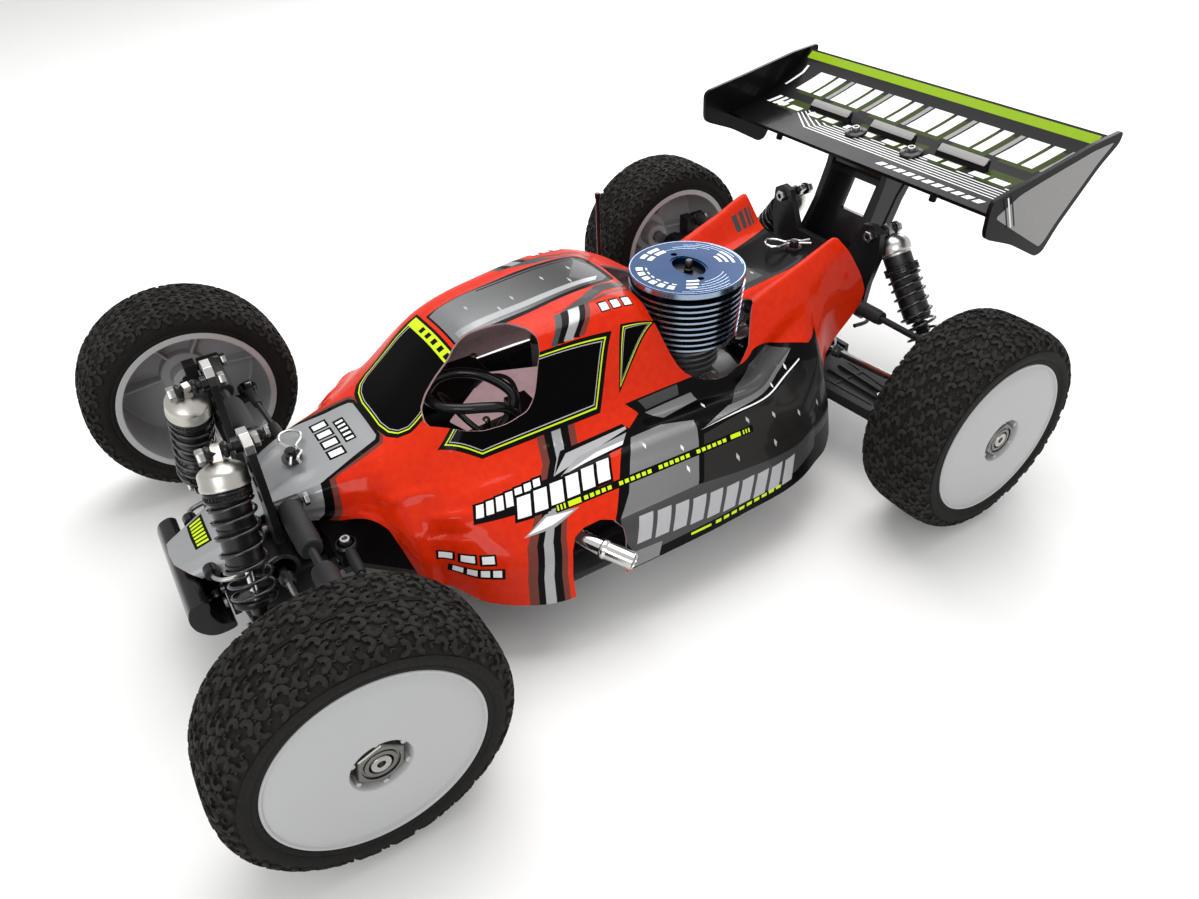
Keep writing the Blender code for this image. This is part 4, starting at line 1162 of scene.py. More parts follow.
def link_with_ends(piece, inner, outer, end_length, end_radius, thread):
    """A turnbuckle: fat moulded ends on a thin threaded rod."""
    inner, outer = Vector(inner), Vector(outer)
    along = (outer - inner).normalized()
    for start, way in ((inner, along), (outer, -along)):
        profile = [(0, 1.0), (end_radius * 0.8, 1.0), (end_radius, 3.2), (end_radius, end_length - 3.0),
                   (end_radius * 0.92, end_length - 2.4), (end_radius * 0.92, end_length - 0.6),
                   (end_radius * 0.8, end_length),
                   (0, end_length)]
        piece.add("worn", lathe(profile, start, way, 24))
    length = (outer - inner).length
    pitch = 0.8
    ridges = []
    spot = end_length - 1
    while spot < length - end_length + 1:
        ridges += [(thread, spot), (thread * 0.84, spot + pitch / 2)]
        spot += pitch
    piece.add("dark_metal", lathe([(0, end_length - 1)] + ridges + [(0, spot)], inner, along, 12))


def ball_end(piece, centre, axis, radius, width, hole):
    """The moulded eye of a rod end."""
    half = width / 2
    piece.add("gloss",
              lathe([(hole, -half), (radius * 0.86, -half), (radius, -half * 0.6), (radius, half * 0.6),
                              (radius * 0.86, half), (hole, half)], centre, axis, 28))


def arms(end, side):
    flip = side == "right"
    front = end == "front"
    y = FRONT_Y if front else REAR_Y
    arm = kept(f"{end}_{side}_lower_arm", f"{end}_{side}_lower_arm", "worn", "black_plastic")
    put = mirrored if flip else (lambda shape: shape)
    # raised ribs along the arm's top, hinge screws and the droop screw
    for across in (-9.0, -3.2, 3.2, 9.0):
        crest = 40.8 if abs(across) < 5 else 39.5
        shape = hull([(40, y + across * 1.35 - 0.8, 38.6), (40, y + across * 1.35 + 0.8, 38.6),
                      (84, y + across - 0.8, 38.6),
                      (84, y + across + 0.8, 38.6), (43, y + across * 1.35 - 0.6, crest),
                      (43, y + across * 1.35 + 0.6, crest),
                      (80, y + across - 0.6, crest), (80, y + across + 0.6, crest)])
        arm.add("worn", put(shape))
    arm.add("worn", put(hull([(52, y - 12, 38.6), (55, y - 12, 38.6), (52, y + 12, 38.6), (55, y + 12, 38.6),
                              (52.4, y - 11, 39.5), (54.6, y - 11, 39.5), (52.4, y + 11, 39.5),
                              (54.6, y + 11, 39.5)])))
    for way in (-1, 1):
        arm.add("steel", put(cap_screw((103, y + way * 14.4, 36), (0, way, 0), 2.4, 1.2)))
    arm.add("steel", put(cap_screw((78, y, 38.9), Z_AXIS, 1.8, 2.0)))
    shock_x, shock_y, shock_z = (56.0, -179.6, 46.0) if front else (88.0, 197.0, 47.0)
    out = -1 if front else 1
    arm.add("steel", put(nut((shock_x, shock_y + out * 4.0, shock_z), (0, out, 0), 2.8, 2.2, 0.8)))
    arm.done(f"{end}_{side}_lower_arm", bevel=0.5)

    if front:
        link = Piece(f"front_{side}_upper_arm_turnbuckle", f"front_{side}_upper_arm", "black_plastic", flip)
        low, high, inner, outer = FRONT_Y + 5, FRONT_Y + 16.6, (30.0, 80.0), (109.0, 80.0)
    else:
        link = Piece(f"rear_{side}_upper_link_turnbuckle", f"rear_{side}_upper_link", "black_plastic", flip)
        low, high, inner, outer = REAR_Y + 9.3, REAR_Y + 18, (33.0, 76.0), (112.0, 76.0)
    mid = (low + high) / 2
    fat = 5.3 if front else 4.2
    link_with_ends(link, (inner[0], mid, inner[1]), (outer[0], mid, outer[1]), 33 if front else 26, fat, 2.0)
    for (x, z), radius, hole in ((inner, 3.7, 1.9), (outer, 4.8, 2.6)):
        link.add("gloss",
                 lathe([(hole, low - mid), (radius - 0.5, low - mid), (radius, low - mid + 0.6),
                        (radius, high - mid - 0.6),
                                 (radius - 0.5, high - mid), (hole, high - mid)], (x, mid, z), Y_AXIS, 28))
    link.done(f"front_{side}_upper_arm" if front else f"rear_{side}_upper_link", bevel=0.2)


def hubs(end, side):
    flip = side == "right"
    put = mirrored if flip else (lambda shape: shape)
    if end == "front":
        y = FRONT_Y
        carrier = kept(f"front_{side}_hub_carrier", f"front_{side}_hub_carrier", "plastic", "black_plastic")
        for z, way in ((72.4, 1), (40.6, -1)):
            carrier.add("steel", put(screw((108, y - 2.8, z), (0, 0, way), 3.0, 1.9)))
        carrier.add("gloss",
                    put(lathe([(0, -2.2), (2.2, -2.2), (2.55, 0), (2.2, 2.2), (0, 2.2)], (109, y + 11, 80),
                              Y_AXIS, 20)))
        carrier.add("steel", put(nut((109, y + 16.8, 80), Y_AXIS, 3.4, 2.6, 1.0)))
        carrier.add("plastic",
                    put(hull([(99, y - 5, 72), (111, y - 5, 72), (99, y + 3, 72), (111, y + 3, 72),
                              (103, y - 4, 76.5),
                                         (109, y - 4, 76.5), (103, y + 2, 76.5), (109, y + 2, 76.5)])))
        carrier.done(f"front_{side}_hub_carrier", bevel=0.45)
        knuckle = kept(f"front_{side}_knuckle", f"front_{side}_knuckle", "dark_metal", "dark_alloy")
        knuckle.add("gloss",
                    put(lathe([(0, -2.2), (2.6, -2.2), (3.55, 0), (2.6, 2.2), (0, 2.2)], (108, -137.5, 59),
                              Z_AXIS, 20)))
        knuckle.add("steel", put(cap_screw((108, -137.5, 61.2), Z_AXIS, 2.3, 2.4)))
        knuckle.add("steel",
                    put(lathe([(4.6, 0), (8.6, 0), (8.9, 0.5), (8.6, 1.0), (4.6, 1.0)], (121, y, AXLE_Z),
                              X_AXIS, 32)))
        knuckle.done(f"front_{side}_knuckle", bevel=0.5)
    else:
        y = REAR_Y
        hub = kept(f"rear_{side}_hub_carrier", f"rear_{side}_hub_carrier", "dark_metal", "dark_alloy")
        hub.add("steel",
                put(lathe([(4.6, 0), (8.6, 0), (8.9, 0.5), (8.6, 1.0), (4.6, 1.0)], (121, y, AXLE_Z), X_AXIS,
                          32)))
        hub.add("gloss",
                put(lathe([(0, -2.2), (2.2, -2.2), (2.55, 0), (2.2, 2.2), (0, 2.2)], (112, y + 13.6, 76),
                          Y_AXIS, 20)))
        hub.add("steel", put(nut((112, y + 18.4, 76), Y_AXIS, 3.2, 2.4, 1.0)))
        hub.add("steel", put(screw((111, y - 8.4, 62), (0, -1, 0), 2.6, 1.6)))
        hub.done(f"rear_{side}_hub_carrier", bevel=0.5)
    shaft = Piece(f"{end}_{side}_half_shaft_bar", f"{end}_{side}_half_shaft", "steel", flip)
    inner, outer = Vector((28, y, 50)), Vector((98, y, 56.5))
    along = (outer - inner).normalized()
    length = (outer - inner).length
    shaft.add("steel",
              lathe([(0, 1), (2.2, 1), (2.1, 6), (2.1, length - 9), (2.9, length - 5), (3.2, length - 2.5),
                     (0, length - 2.5)],
                             inner, along, 24))
    shaft.add("steel", ball(inner, 2.8), ball(outer, 3.6))
    across = along.cross(Vector(Y_AXIS)).normalized()
    for spot, reach in ((inner, 3.2), (outer, 4.5)):
        shaft.add("pin", rod(spot - across * reach, spot + across * reach, 1.0, 12))
    shaft.add("hose",
              lathe([(2.2, 0), (3.6, 1.0), (2.8, 2.2), (3.5, 3.2), (2.6, 4.4), (3.2, 5.4), (2.2, 6.2)],
                    inner + along * 12.0, along, 28))
    shaft.done(f"{end}_{side}_half_shaft", bevel=0)


def shock(end, side):
    flip = side == "right"
    front = end == "front"
    top = Vector((27.0, -171.8, 116.0) if front else (36.0, 197.0, 116.0))
    bottom = Vector((56.0, -179.6, 46.0) if front else (88.0, 197.0, 47.0))
    length = (bottom - top).length
    axis = (bottom - top) / length
    end_at = 50 if front else 54
    bright = "cap" if front else "bright"

    body = Piece(f"{end}_{side}_shock_damper", f"{end}_{side}_shock_body", "shock_alloy", flip)
    if front:
        dome = [(0, 3.4), (3.0, 3.6), (5.4, 4.6), (8.2, 6.2), (9.5, 7.4), (9.9, 8.4), (9.9, 12.6),
                (10.2, 13.0), (10.2, 14.2), (9.8, 14.6)]
    else:
        dome = [(0, 2.6), (2.4, 2.7), (4.2, 3.4), (7.2, 5.6), (8.8, 8.2), (9.2, 9.8), (9.2, 12.8),
                (8.9, 13.4), (8.2, 13.5)]
    body.add(bright, lathe(dome + [(8.0, 15.0), (0, 15.0)], top, axis, 48))
    body.add(bright,
             lathe([(0, -3.6), (2.0, -3.6, 4), (2.7, -2.9, 4), (2.9, 4.6, 4), (0, 4.6)], top, axis, 24,
                   math.pi / 4))
    for way in (-1, 1):
        body.add("gloss",
                 lathe([(1.8, 2.2), (3.1, 2.3), (3.6, 3.0), (3.6, 3.9), (3.0, 4.6), (1.8, 4.7)], top,
                       (0, way, 0), 28))
    body.add("dark_metal",
             lathe([(0, 13.6), (7.9, 13.6), (7.9, 26), (7.7, 26.4), (7.7, end_at - 2.6), (7.0, end_at - 1.8),
                    (7.0, end_at),
                                  (2.4, end_at), (2.4, 18), (0, 18)], top, axis, 48))
    low = 15.0 if front else 21.0
    body.add("gloss",
             lathe([(7.9, low), (9.5, low), (9.7, low + 0.5), (9.7, low + 1.3), (9.2, low + 1.5),
                    (9.2, low + 3.1), (9.7, low + 3.3),
                             (9.7, low + 4.3), (9.3, low + 4.7), (7.9, low + 4.7)], top, axis, 48))
    _, across, up = square_to(axis)
    for i in range(36):
        turn = 2 * math.pi * i / 36
        spot = top + axis * (low + 2.3) + (across * math.cos(turn) + up * math.sin(turn)) * 9.3
        body.add("gloss", rod(spot - axis * 0.75, spot + axis * 0.75, 0.34, 6))
    if front:
        body.add("gloss", lathe([(7.7, 31), (8.1, 31.2), (8.1, 32.2), (7.7, 32.4)], top, axis, 48))
        body.add("gloss", lathe([(7.7, 46.5), (8.3, 46.7), (8.3, 48.0), (7.7, 48.2)], top, axis, 48))
    body.done(f"{end}_{side}_shock_body", bevel=0.15)

    seat = length - 13
    shaft = Piece(f"{end}_{side}_shock_rod", f"{end}_{side}_shock_shaft", "steel", flip)
    shaft.add("chrome", rod(top + axis * (end_at - 16), top + axis * (length - 4.5), 1.7, 24))
    shaft.add("gloss", lathe([(1.8, seat - 0.6), (7.6, seat - 0.6), (8.0, seat - 0.1),
                              (9.0, seat), (9.2, seat + 0.5), (9.2, seat + 2.2), (8.6, seat + 2.8),
                              (4.6, seat + 3.6), (3.4, seat + 6.0), (2.9, seat + 9.0),
                              (1.8, seat + 9.0)], top, axis, 44))
    shaft.add("gloss",
              lathe([(3.25, -3.5), (4.7, -3.5), (5.2, -2.6), (5.2, 2.6), (4.7, 3.5), (3.25, 3.5)], bottom,
                    Y_AXIS, 32))
    shaft.add("steel",
              lathe([(0, -2.6), (1.9, -2.6), (2.8, -1.4), (3.2, 0), (2.8, 1.4), (1.9, 2.6), (0, 2.6)], bottom,
                    Y_AXIS, 24))
    shaft.done(f"{end}_{side}_shock_shaft", bevel=0.1)

    def between(piece, node, first_end, last_end):
        """Finish a piece that lies between the shock's body and its shaft; it is left unparented, following
        neither.
        """
        ends = [Vector((-p.x, p.y, p.z)) if flip else p for p in (first_end, last_end)]
        piece.done(*node, bevel=0, angle=60,
                   blend=(f"{end}_{side}_shock_body", f"{end}_{side}_shock_shaft", place(ends[0]),
                          place(ends[1])))

    if not front:
        boot = Piece(f"rear_{side}_shock_boot", None, "black_plastic", flip)
        ridges = []
        for i in range(8):
            ridges += [(3.2, end_at + 0.6 + i * 2.3), (4.9, end_at + 1.7 + i * 2.3)]
        boot.add("hose",
                 lathe([(1.9, end_at + 0.5)] + ridges + [(3.2, seat - 1.0), (1.9, seat - 0.9)], top, axis,
                       36))
        between(boot, (), top + axis * (end_at + 1.5), top + axis * (seat - 1.8))

    spring = Piece(f"{end}_{side}_shock_coil", None, "spring", flip)
    start, stop = top + axis * (low + 5.6), top + axis * (seat - 0.85)
    if front:
        spring.add("spring", coil(start, stop, 9.15, 0.74, 6.6, 10))
    else:
        spring.add("spring", coil(start, stop, 8.85, 0.85, 8.6, 10))
    between(spring, (f"{end}_{side}_shock_spring",), start + axis * 1.0, stop - axis * 1.0)


def tie_rod(side):
    flip = side == "right"
    rod_piece = Piece(f"front_{side}_tie_rod_turnbuckle", f"front_{side}_tie_rod", "black_plastic", flip)
    inner, outer = Vector((45, -136, 59)), Vector((108, -138.4, 59))
    link_with_ends(rod_piece, inner + Vector((3, 0, 0)), outer - Vector((3, 0, 0)), 17, 2.6, 1.6)
    for spot, width in ((inner, 4.6), (outer, 3.8)):
        ball_end(rod_piece, spot, Z_AXIS, 5.2, width, 3.95)
    rod_piece.done(f"front_{side}_tie_rod", bevel=0.15)


def clip(piece, centre, toward):
    """An R-clip through a post, with its rubber pad under it."""
    centre = Vector(centre)
    toward = Vector(toward).normalized()
    side = Vector(Z_AXIS).cross(toward)
    piece.add("gloss", lathe([(0, -2.4), (2.5, -2.4), (2.7, 3.4), (2.2, 4.2), (0, 4.4)], centre, Z_AXIS, 24))
    piece.add("hose",
              lathe([(2.7, -1.6), (4.6, -1.6), (4.8, -0.6), (4.6, 0.4), (2.7, 0.4)], centre, Z_AXIS, 28))
    route = [(-9.6, 0.4, 2.2), (-3, 0.0, 2.2), (3.4, 0.2, 2.2), (6.6, 2.4, 2.2), (10.4, 5.0, 2.6),
             (15.0, 4.4, 3.0), (16.6, 0, 3.2),
             (14.4, -4.2, 3.0), (9.6, -4.6, 2.6), (5.2, -2.4, 2.2), (2.6, -3.2, 2.2), (-0.6, -4.6, 2.2),
             (-4.6, -3.0, 2.2), (-9.6, -4.4, 2.2)]
    spots = [centre + toward * a + side * b + Vector((0, 0, c)) for a, b, c in route]
    piece.add("pin", tube(curve(spots, 6), 0.72, 8))


# Chassis, gearboxes, towers and steering


def chassis():
    plate = kept("chassis_plate", "chassis", "dark_metal", "dark_alloy")
    for x, y in ((10, -176), (10, -150), (12, 150), (12, 178), (34, -96), (48, -70), (50, 40), (24, 120)):
        plate.both("steel",
                   lathe([(0, 0), (3.4, 0), (2.2, -1.0), (1.2, -1.05), (1.1, -0.4), (0, -0.4)], (x, y, 27.95),
                         Z_AXIS, 20))
    plate.done("chassis_plate", bevel=0.6)
    for side in ("left", "right"):
        guard = kept(f"side_guard_{side}", "chassis", "worn", "black_plastic")
        put = mirrored if side == "right" else (lambda shape: shape)
        for i in range(9):
            y = -66 + i * 18.5
            guard.add("worn",
                      put(hull([(64, y, 31.2), (64, y + 1.4, 31.2), (79, y, 31.2), (79, y + 1.4, 31.2),
                                (84.6, y, 39.2), (84.6, y + 1.4, 39.2)])))
        lip = [(86, 28.6), (96.5, 30.4), (98.4, 33.4), (97.6, 35.4), (87.4, 38.4)]
        guard.add("worn",
                  put(hull([(x - cut, y, z) for y, cut in ((-70, 5.5), (-56, 0.6), (66, 0.0),
                                                           (86, 4.5)) for x, z in lip])))
        for y in (-58, -10, 38, 82):
            guard.add("steel", put(screw((68, y + 6, 31.2), Z_AXIS, 2.6, 1.6)))
        guard.done(f"side_guard_{side}", bevel=0.5)
    stays = Piece("chassis_stays", "chassis", "steel")
    stays.add("steel", tube(curve([(6, -142, 58), (6, -120, 48), (6, -98, 36), (6, -94, 32)], 5), 2.6, 12))
    stays.add("steel", tube(curve([(-8, 142, 60), (-8, 118, 46), (-8, 104, 36), (-8, 100, 32)], 5), 2.6, 12))
    stays.done(bevel=0)


def gearboxes():
    for end, y, out in (("front", FRONT_Y, -1), ("rear", REAR_Y, 1)):
        case = kept(f"{end}_gearbox", "chassis", "plastic", "black_plastic")
        for z in (44.0, 50.5):
            case.add("plastic", box((-17.6, y - 20.4, z), (17.6, y + 20.4, z + 1.0)))
        for x in (-13.5, 13.5):
            for z in (35.5, 45.5):
                case.add("steel",
                         cap_screw((x, y + out * 24.4 if z < 40 else y + out * 21.1, z), (0, out, 0), 2.4,
                                   2.0))
                case.add("steel",
                         screw((x, y - out * 24.4 if z < 40 else y - out * 21.1, z), (0, -out, 0), 2.2, 1.4))
        for side in (-1, 1):
            case.add("steel",
                     lathe([(6.3, 0), (7.9, 0), (8.2, 0.6), (8.2, 1.6), (6.3, 1.8)], (side * 32, y, 50),
                           (side, 0, 0), 36))
            for low in (-25.6, 24.6):
                case.add("steel",
                         cap_screw((side * 24, y + low + (0 if low < 0 else 0.2), 36),
                                   (0, 1 if low > 0 else -1, 0), 2.6, 1.4))
        for i in range(5):
            case.add("plastic", box((-12 + i * 5.6, y - 21.6, 33), (-10.6 + i * 5.6, y - 21.0, 54)))
        case.done(f"{end}_gearbox", bevel=0.5)


def towers():
    ears = kept("front_shock_tower", "chassis", "dark_metal", "black_plastic")
    for side in (-1, 1):
        tip = [(side * x, z) for x,
               z in ((24.6, 119.4), (39.0, 117.4), (38.4, 121.2), (33.2, 124.4), (26.8, 123.5))]
        ears.add("bright", prism(tip if side > 0 else tip[::-1], -162.5, -158.6, "Y"))
        for z in (108, 100, 92):
            ears.add("plastic",
                     lathe([(1.3, -0.2), (2.4, -0.2), (2.4, 0.25), (1.3, 0.25)], (side * 33, -162.4, z),
                           (0, -1, 0), 20))
            ears.add("plastic",
                     lathe([(1.3, -0.2), (2.4, -0.2), (2.4, 0.25), (1.3, 0.25)], (side * 33, -158.7, z),
                           Y_AXIS, 20))
        ears.add("steel", nut((side * 27, -176.4, 116), (0, -1, 0), 3.6, 3.2, 1.4))
        ears.add("gloss",
                 lathe([(2.0, 0), (3.6, 0), (3.6, 3.0), (2.0, 3.4)], (side * 27, -162.2, 116), (0, -1, 0),
                       24))
        ears.add("steel", nut((side * 27, -157.6, 116), Y_AXIS, 3.4, 2.8, 1.4))
        ears.add("steel", nut((side * 30, -145.6, 80), Y_AXIS, 3.2, 2.2, 1.2))
        ears.add("gloss",
                 lathe([(0, -2.4), (2.2, -2.4), (2.4, 0), (2.2, 2.4), (0, 2.4)], (side * 30, -150, 80),
                       Y_AXIS, 20))
    # the brace between the ears and its screws
    ears.add("dark_metal",
             slab([(-22.4, 57.4), (22.4, 57.4), (21.5, 66), (13, 69.5), (-13, 69.5), (-21.5, 66)],
                  [circle(0, 62.6, 3.2)], -162.2, -158.9, "Y"))
    for x in (-17, 17):
        ears.add("steel", cap_screw((x, -162.2, 62), (0, -1, 0), 2.5, 2.4))
    ears.done("front_shock_tower", bevel=0.45)
    tower = kept("rear_shock_tower", "chassis", "dark_metal", "black_plastic")
    for side in (-1, 1):
        for z in (106, 98):
            tower.add("plastic",
                      lathe([(1.3, -0.2), (2.4, -0.2), (2.4, 0.25), (1.3, 0.25)], (side * 36, 186.8, z),
                            Y_AXIS, 20))
        tower.add("steel", nut((side * 36, 201.6, 116), Y_AXIS, 3.6, 3.2, 1.4))
        tower.add("steel", nut((side * 36, 182.6, 116), (0, -1, 0), 3.4, 2.6, 1.4))
        tower.add("gloss",
                  lathe([(2.0, 0), (3.4, 0), (3.4, 6.0), (2.0, 6.2)], (side * 36, 187.0, 116), Y_AXIS, 24))
        tower.add("gloss",
                  lathe([(0, -2.4), (2.2, -2.4), (2.4, 0), (2.2, 2.4), (0, 2.4)], (side * 33, 177.1, 76),
                        Y_AXIS, 20))
        tower.add("steel", nut((side * 33, 171.2, 76), (0, -1, 0), 3.2, 2.2, 1.2))
        tower.add("steel", cap_screw((side * 12, 182.8, 62.5), (0, -1, 0), 2.5, 2.2))
    tower.done("rear_shock_tower", bevel=0.45)
    bars = Piece("anti_roll_bars", "chassis", "steel")
    half = [(29, -176, 53), (29.4, -184, 53), (25.4, -190, 53), (12, -190.5, 53)]
    route = half + [(-x, y, z) for x, y, z in reversed(half)]
    bars.add("steel", tube(curve(route, 6), 1.15, 10))
    half = [(30, 189, 54), (30.6, 198, 54), (26, 203.4, 54), (12, 204, 54)]
    route = half + [(-x, y, z) for x, y, z in reversed(half)]
    bars.add("dark_metal", tube(curve(route, 6), 1.25, 10))
    for x in (-20, 20):
        bars.add("gloss",
                 lathe([(1.2, -2.5), (3.2, -2.5), (3.2, 2.5), (1.2, 2.5)], (x, -190.4, 53), X_AXIS, 20))
        bars.add("gloss",
                 lathe([(1.3, -2.5), (3.2, -2.5), (3.2, 2.5), (1.3, 2.5)], (x, 203.8, 54), X_AXIS, 20))
    bars.done(bevel=0)


def bumper():
    piece = Piece("front_bumper_moulding", "chassis", "black_plastic")
    outline = [(-205, 34), (-206.6, 41), (-204.6, 48), (-199, 50), (-195.4, 47.4), (-197.6, 41),
               (-194.4, 32.6), (-188.6, 32), (-188.6, 27.8), (-199, 27.6)]
    piece.add("gloss", prism(leftward(softened(outline)), -33, 33, "X"))
    for x in (-12, 12):
        piece.add("steel", screw((x, -192.4, 32.2), Z_AXIS, 2.6, 1.6))
    piece.done("front_bumper", bevel=1.4)


def steering():
    saver = kept("servo_saver", "servo_saver", "plastic", "black_plastic")
    saver.add("plastic",
              lathe([(6.5, 33), (8.0, 33.5), (8.0, 35), (7.2, 35.4), (7.2, 38), (8.2, 38.4), (8.2, 40.6),
                     (6.5, 41)], (-20, -112, 0), Z_AXIS, 40))
    saver.add("steel", cap_screw((-20, -112, 45.3), Z_AXIS, 3.0, 3.0))
    saver.add("steel", screw((-20, -136, 42.1), (0, 0, -1), 2.4, 1.4))
    saver.done("servo_saver", bevel=0.4)
    plate = kept("steering_plate", "steering_plate", "dark_metal", "dark_alloy")
    for side in (-1, 1):
        plate.add("gloss",
                  lathe([(0, -2.4), (2.6, -2.4), (3.55, 0), (2.6, 2.4), (0, 2.4)], (side * 45, -136, 59),
                        Z_AXIS, 20))
        plate.add("steel", cap_screw((side * 45, -136, 61.4), Z_AXIS, 2.4, 2.2))
        plate.add("gloss",
                  lathe([(1.4, 0), (3.4, 0), (2.8, 5.0), (1.4, 5.2)], (side * 45, -136, 49.6), Z_AXIS, 24))
    plate.done("steering_plate", bevel=0.4)


# Engine, pipe, tank, electronics and gears


def engine():
    x, y = HEAD_X, HEAD_Y
    head = Piece("engine_cooling_head", "chassis", "engine_alloy")
    # nine fins with bright edges on a dark core
    core = [(0, 99.4), (16.0, 99.4), (16.0, 128.6), (0, 128.6)]
    head.add("fin", lathe(core, (x, y, 0), Z_AXIS, 64))
    count = 9
    for i in range(count):
        low = 99.2 + i * 3.22
        reach = 26.6 + 2.2 * i / (count - 1)
        head.add("fin",
                 lathe([(14, low), (reach - 0.7, low), (reach - 0.7, low + 1.3), (14, low + 1.3)], (x, y, 0),
                       Z_AXIS, 72))
        head.add("edge",
                 lathe([(reach - 0.7, low), (reach, low + 0.15), (reach, low + 1.15),
                        (reach - 0.7, low + 1.3)], (x, y, 0), Z_AXIS, 72))
    for side in range(4):
        turn = math.radians(22 + 90 * side)
        spot = Vector((x + math.cos(turn) * 23.6, y + math.sin(turn) * 23.6, 0))
        head.add("fin", rod(spot + Vector((0, 0, 99)), spot + Vector((0, 0, 128.8)), 2.6, 20))
    head.done("engine_head", bevel=0)
    top = Piece("engine_head_button", "chassis", "engine_alloy")
    # the blue button with its oval well, cut from flat outlines and printed in white
    outline = circle(x, y, 28.7, 96)
    well = [(x + math.cos(2 * math.pi * i / 40) * 11.6,
             y + 1.0 + math.sin(2 * math.pi * i / 40) * 7.8) for i in range(40)]
    holes = [circle(x - 14.2, y + 2.4, 1.7, 16), circle(x + 14.2, y - 2.4, 1.7, 16)]
    top.add("blue", slab(outline, [well, *holes], 128.9, 132.4, "Z"))
    top.add("edge",
            lathe([(28.3, 129.0), (28.8, 129.3), (28.8, 131.9), (28.4, 132.4), (28.0, 132.42), (28.0, 129.0)],
                  (x, y, 0), Z_AXIS, 96))
    top.add("fin", lathe([(0, 128.7), (12.4, 128.7), (12.4, 129.0), (0, 129.0)], (x, y + 1.0, 0), Z_AXIS, 40))
    top.add("blue", slab(well, [inset(well, 1.0)], 124.2, 132.0, "Z"))
    for hole in holes:
        centre = sum((Vector(p) for p in hole), Vector((0, 0))) / len(hole)
        top.add("fin", cap_screw((centre.x, centre.y, 129.0), Z_AXIS, 1.6, 1.6))
    # printed marks: rows of blocks, plain arcs and fine lines
    low, high = 132.41, 132.5

    def mark(outline_points, key="white"):
        top.add(key, prism(leftward([(x + a, y + b) for a, b in outline_points]), low, high, "Z"))

    def band(radius, width, start, end, key="white"):
        steps = max(4, int(abs(end - start) / 8))
        arc = [math.radians(start + (end - start) * i / steps) for i in range(steps + 1)]
        mark([(math.cos(a) * (radius + width / 2), math.sin(a) * (radius + width / 2)) for a in arc]
             + [(math.cos(a) * (radius - width / 2),
                 math.sin(a) * (radius - width / 2)) for a in reversed(arc)], key)

    for i in range(6):
        start = -122 + i * 12.5
        band(23.6, 3.4, start, start + 8.2)
        band(20.2, 0.8, start + 2, start + 9)
    for i in range(2):
        band(19.5 + i * 4.2, 2.6, 178 + i * 3, 196 + i * 2)
        band(19.5 + i * 4.2, 2.6, 202, 216 - i * 2)
    for i in range(3):
        band(23.4 - i * 3.0, 1.5, 64 + i * 3, 98 - i * 3)
    for i in range(3):
        band(22.4 - i * 3.2, 1.6, -38, -24 + i * 4)
    for i in range(5):
        band(27.3 - i * 1.9, 0.35, 60 + i * 17, 118 + i * 15, "edge")
        band(26.8 - i * 2.1, 0.35, 318 + i * 8, 372 + i * 6, "edge")
    top.done(bevel=0)
    # glow plug and its nut in the well
    plug = Piece("glow_plug", "chassis", "engine_alloy")
    plug.add("brass",
             lathe([(0, 118), (3.2, 118), (3.2, 124), (4.2, 124, 6), (4.2, 128.4, 6), (2.3, 129), (2.3, 131),
                    (1.9, 131.3), (1.9, 134.6),
                             (1.5, 135.4), (0, 135.6)], (x, y + 1.0, 0), Z_AXIS, 30))
    plug.done(bevel=0.1)

    block = kept("engine_block", "chassis", "cast", "engine_alloy")
    for i in range(5):
        z = 82 + i * 3.2
        block.add("cast", lathe([(14, z), (17.6, z), (17.6, z + 1.1), (14, z + 1.1)], (x, y, 0), Z_AXIS, 48))
    for sx in (-1, 1):
        for sy in (-1, 1):
            block.add("steel", cap_screw((31 + sx * 20.5, 61 + sy * 9.5, 53.9), Z_AXIS, 2.7, 2.6))
            block.add("steel", cap_screw((31 + sx * 9, 88, 57 + sy * 9), Y_AXIS, 2.0, 1.8))
    # carburettor with its slide boot, fuel inlet and air cleaner neck
    block.add("dark_metal",
              lathe([(0, 84), (7.2, 84), (7.6, 85), (7.6, 92), (6.2, 93), (6.2, 96.6), (5.4, 97), (5.2, 91),
                     (0, 90)], (31, 36, 0), Z_AXIS, 40))
    block.add("hose",
              lathe([(3.4, 0), (5.2, 0.8), (3.6, 2.2), (5.0, 3.6), (3.4, 5.0), (4.6, 6.4), (3.0, 7.6),
                     (0, 8)], (22.6, 36, 88), (-1, 0, 0), 32))
    block.add("steel", rod((14.6, 36, 88), (8, 36, 88), 1.2, 16), ball((7.4, 36, 88), 2.5, 16))
    block.add("brass",
              lathe([(0, 0), (2.6, 0, 6), (2.6, 3, 6), (1.6, 3.2), (1.6, 7), (1.9, 7.6), (1.4, 8.4),
                     (0, 8.4)], (38.4, 36, 87), X_AXIS, 24))
    block.done("engine_block", bevel=0.6)
    cleaner = Piece("air_cleaner", "chassis", "black_plastic")
    cleaner.add("gloss",
                lathe([(5.6, 94), (6.6, 94.6), (6.6, 97.4), (11.2, 99.4), (11.6, 100.4), (11.6, 101.6),
                       (10.8, 102), (5.4, 102)], (31, 14.5, 0), Z_AXIS, 40))
    cleaner.add("hose",
                tube(curve([(31, 36, 94.5), (30.6, 30, 100), (30.5, 22, 101), (31, 14.5, 100.5)], 5), 5.6,
                     20))
    cleaner.done(bevel=0.2)


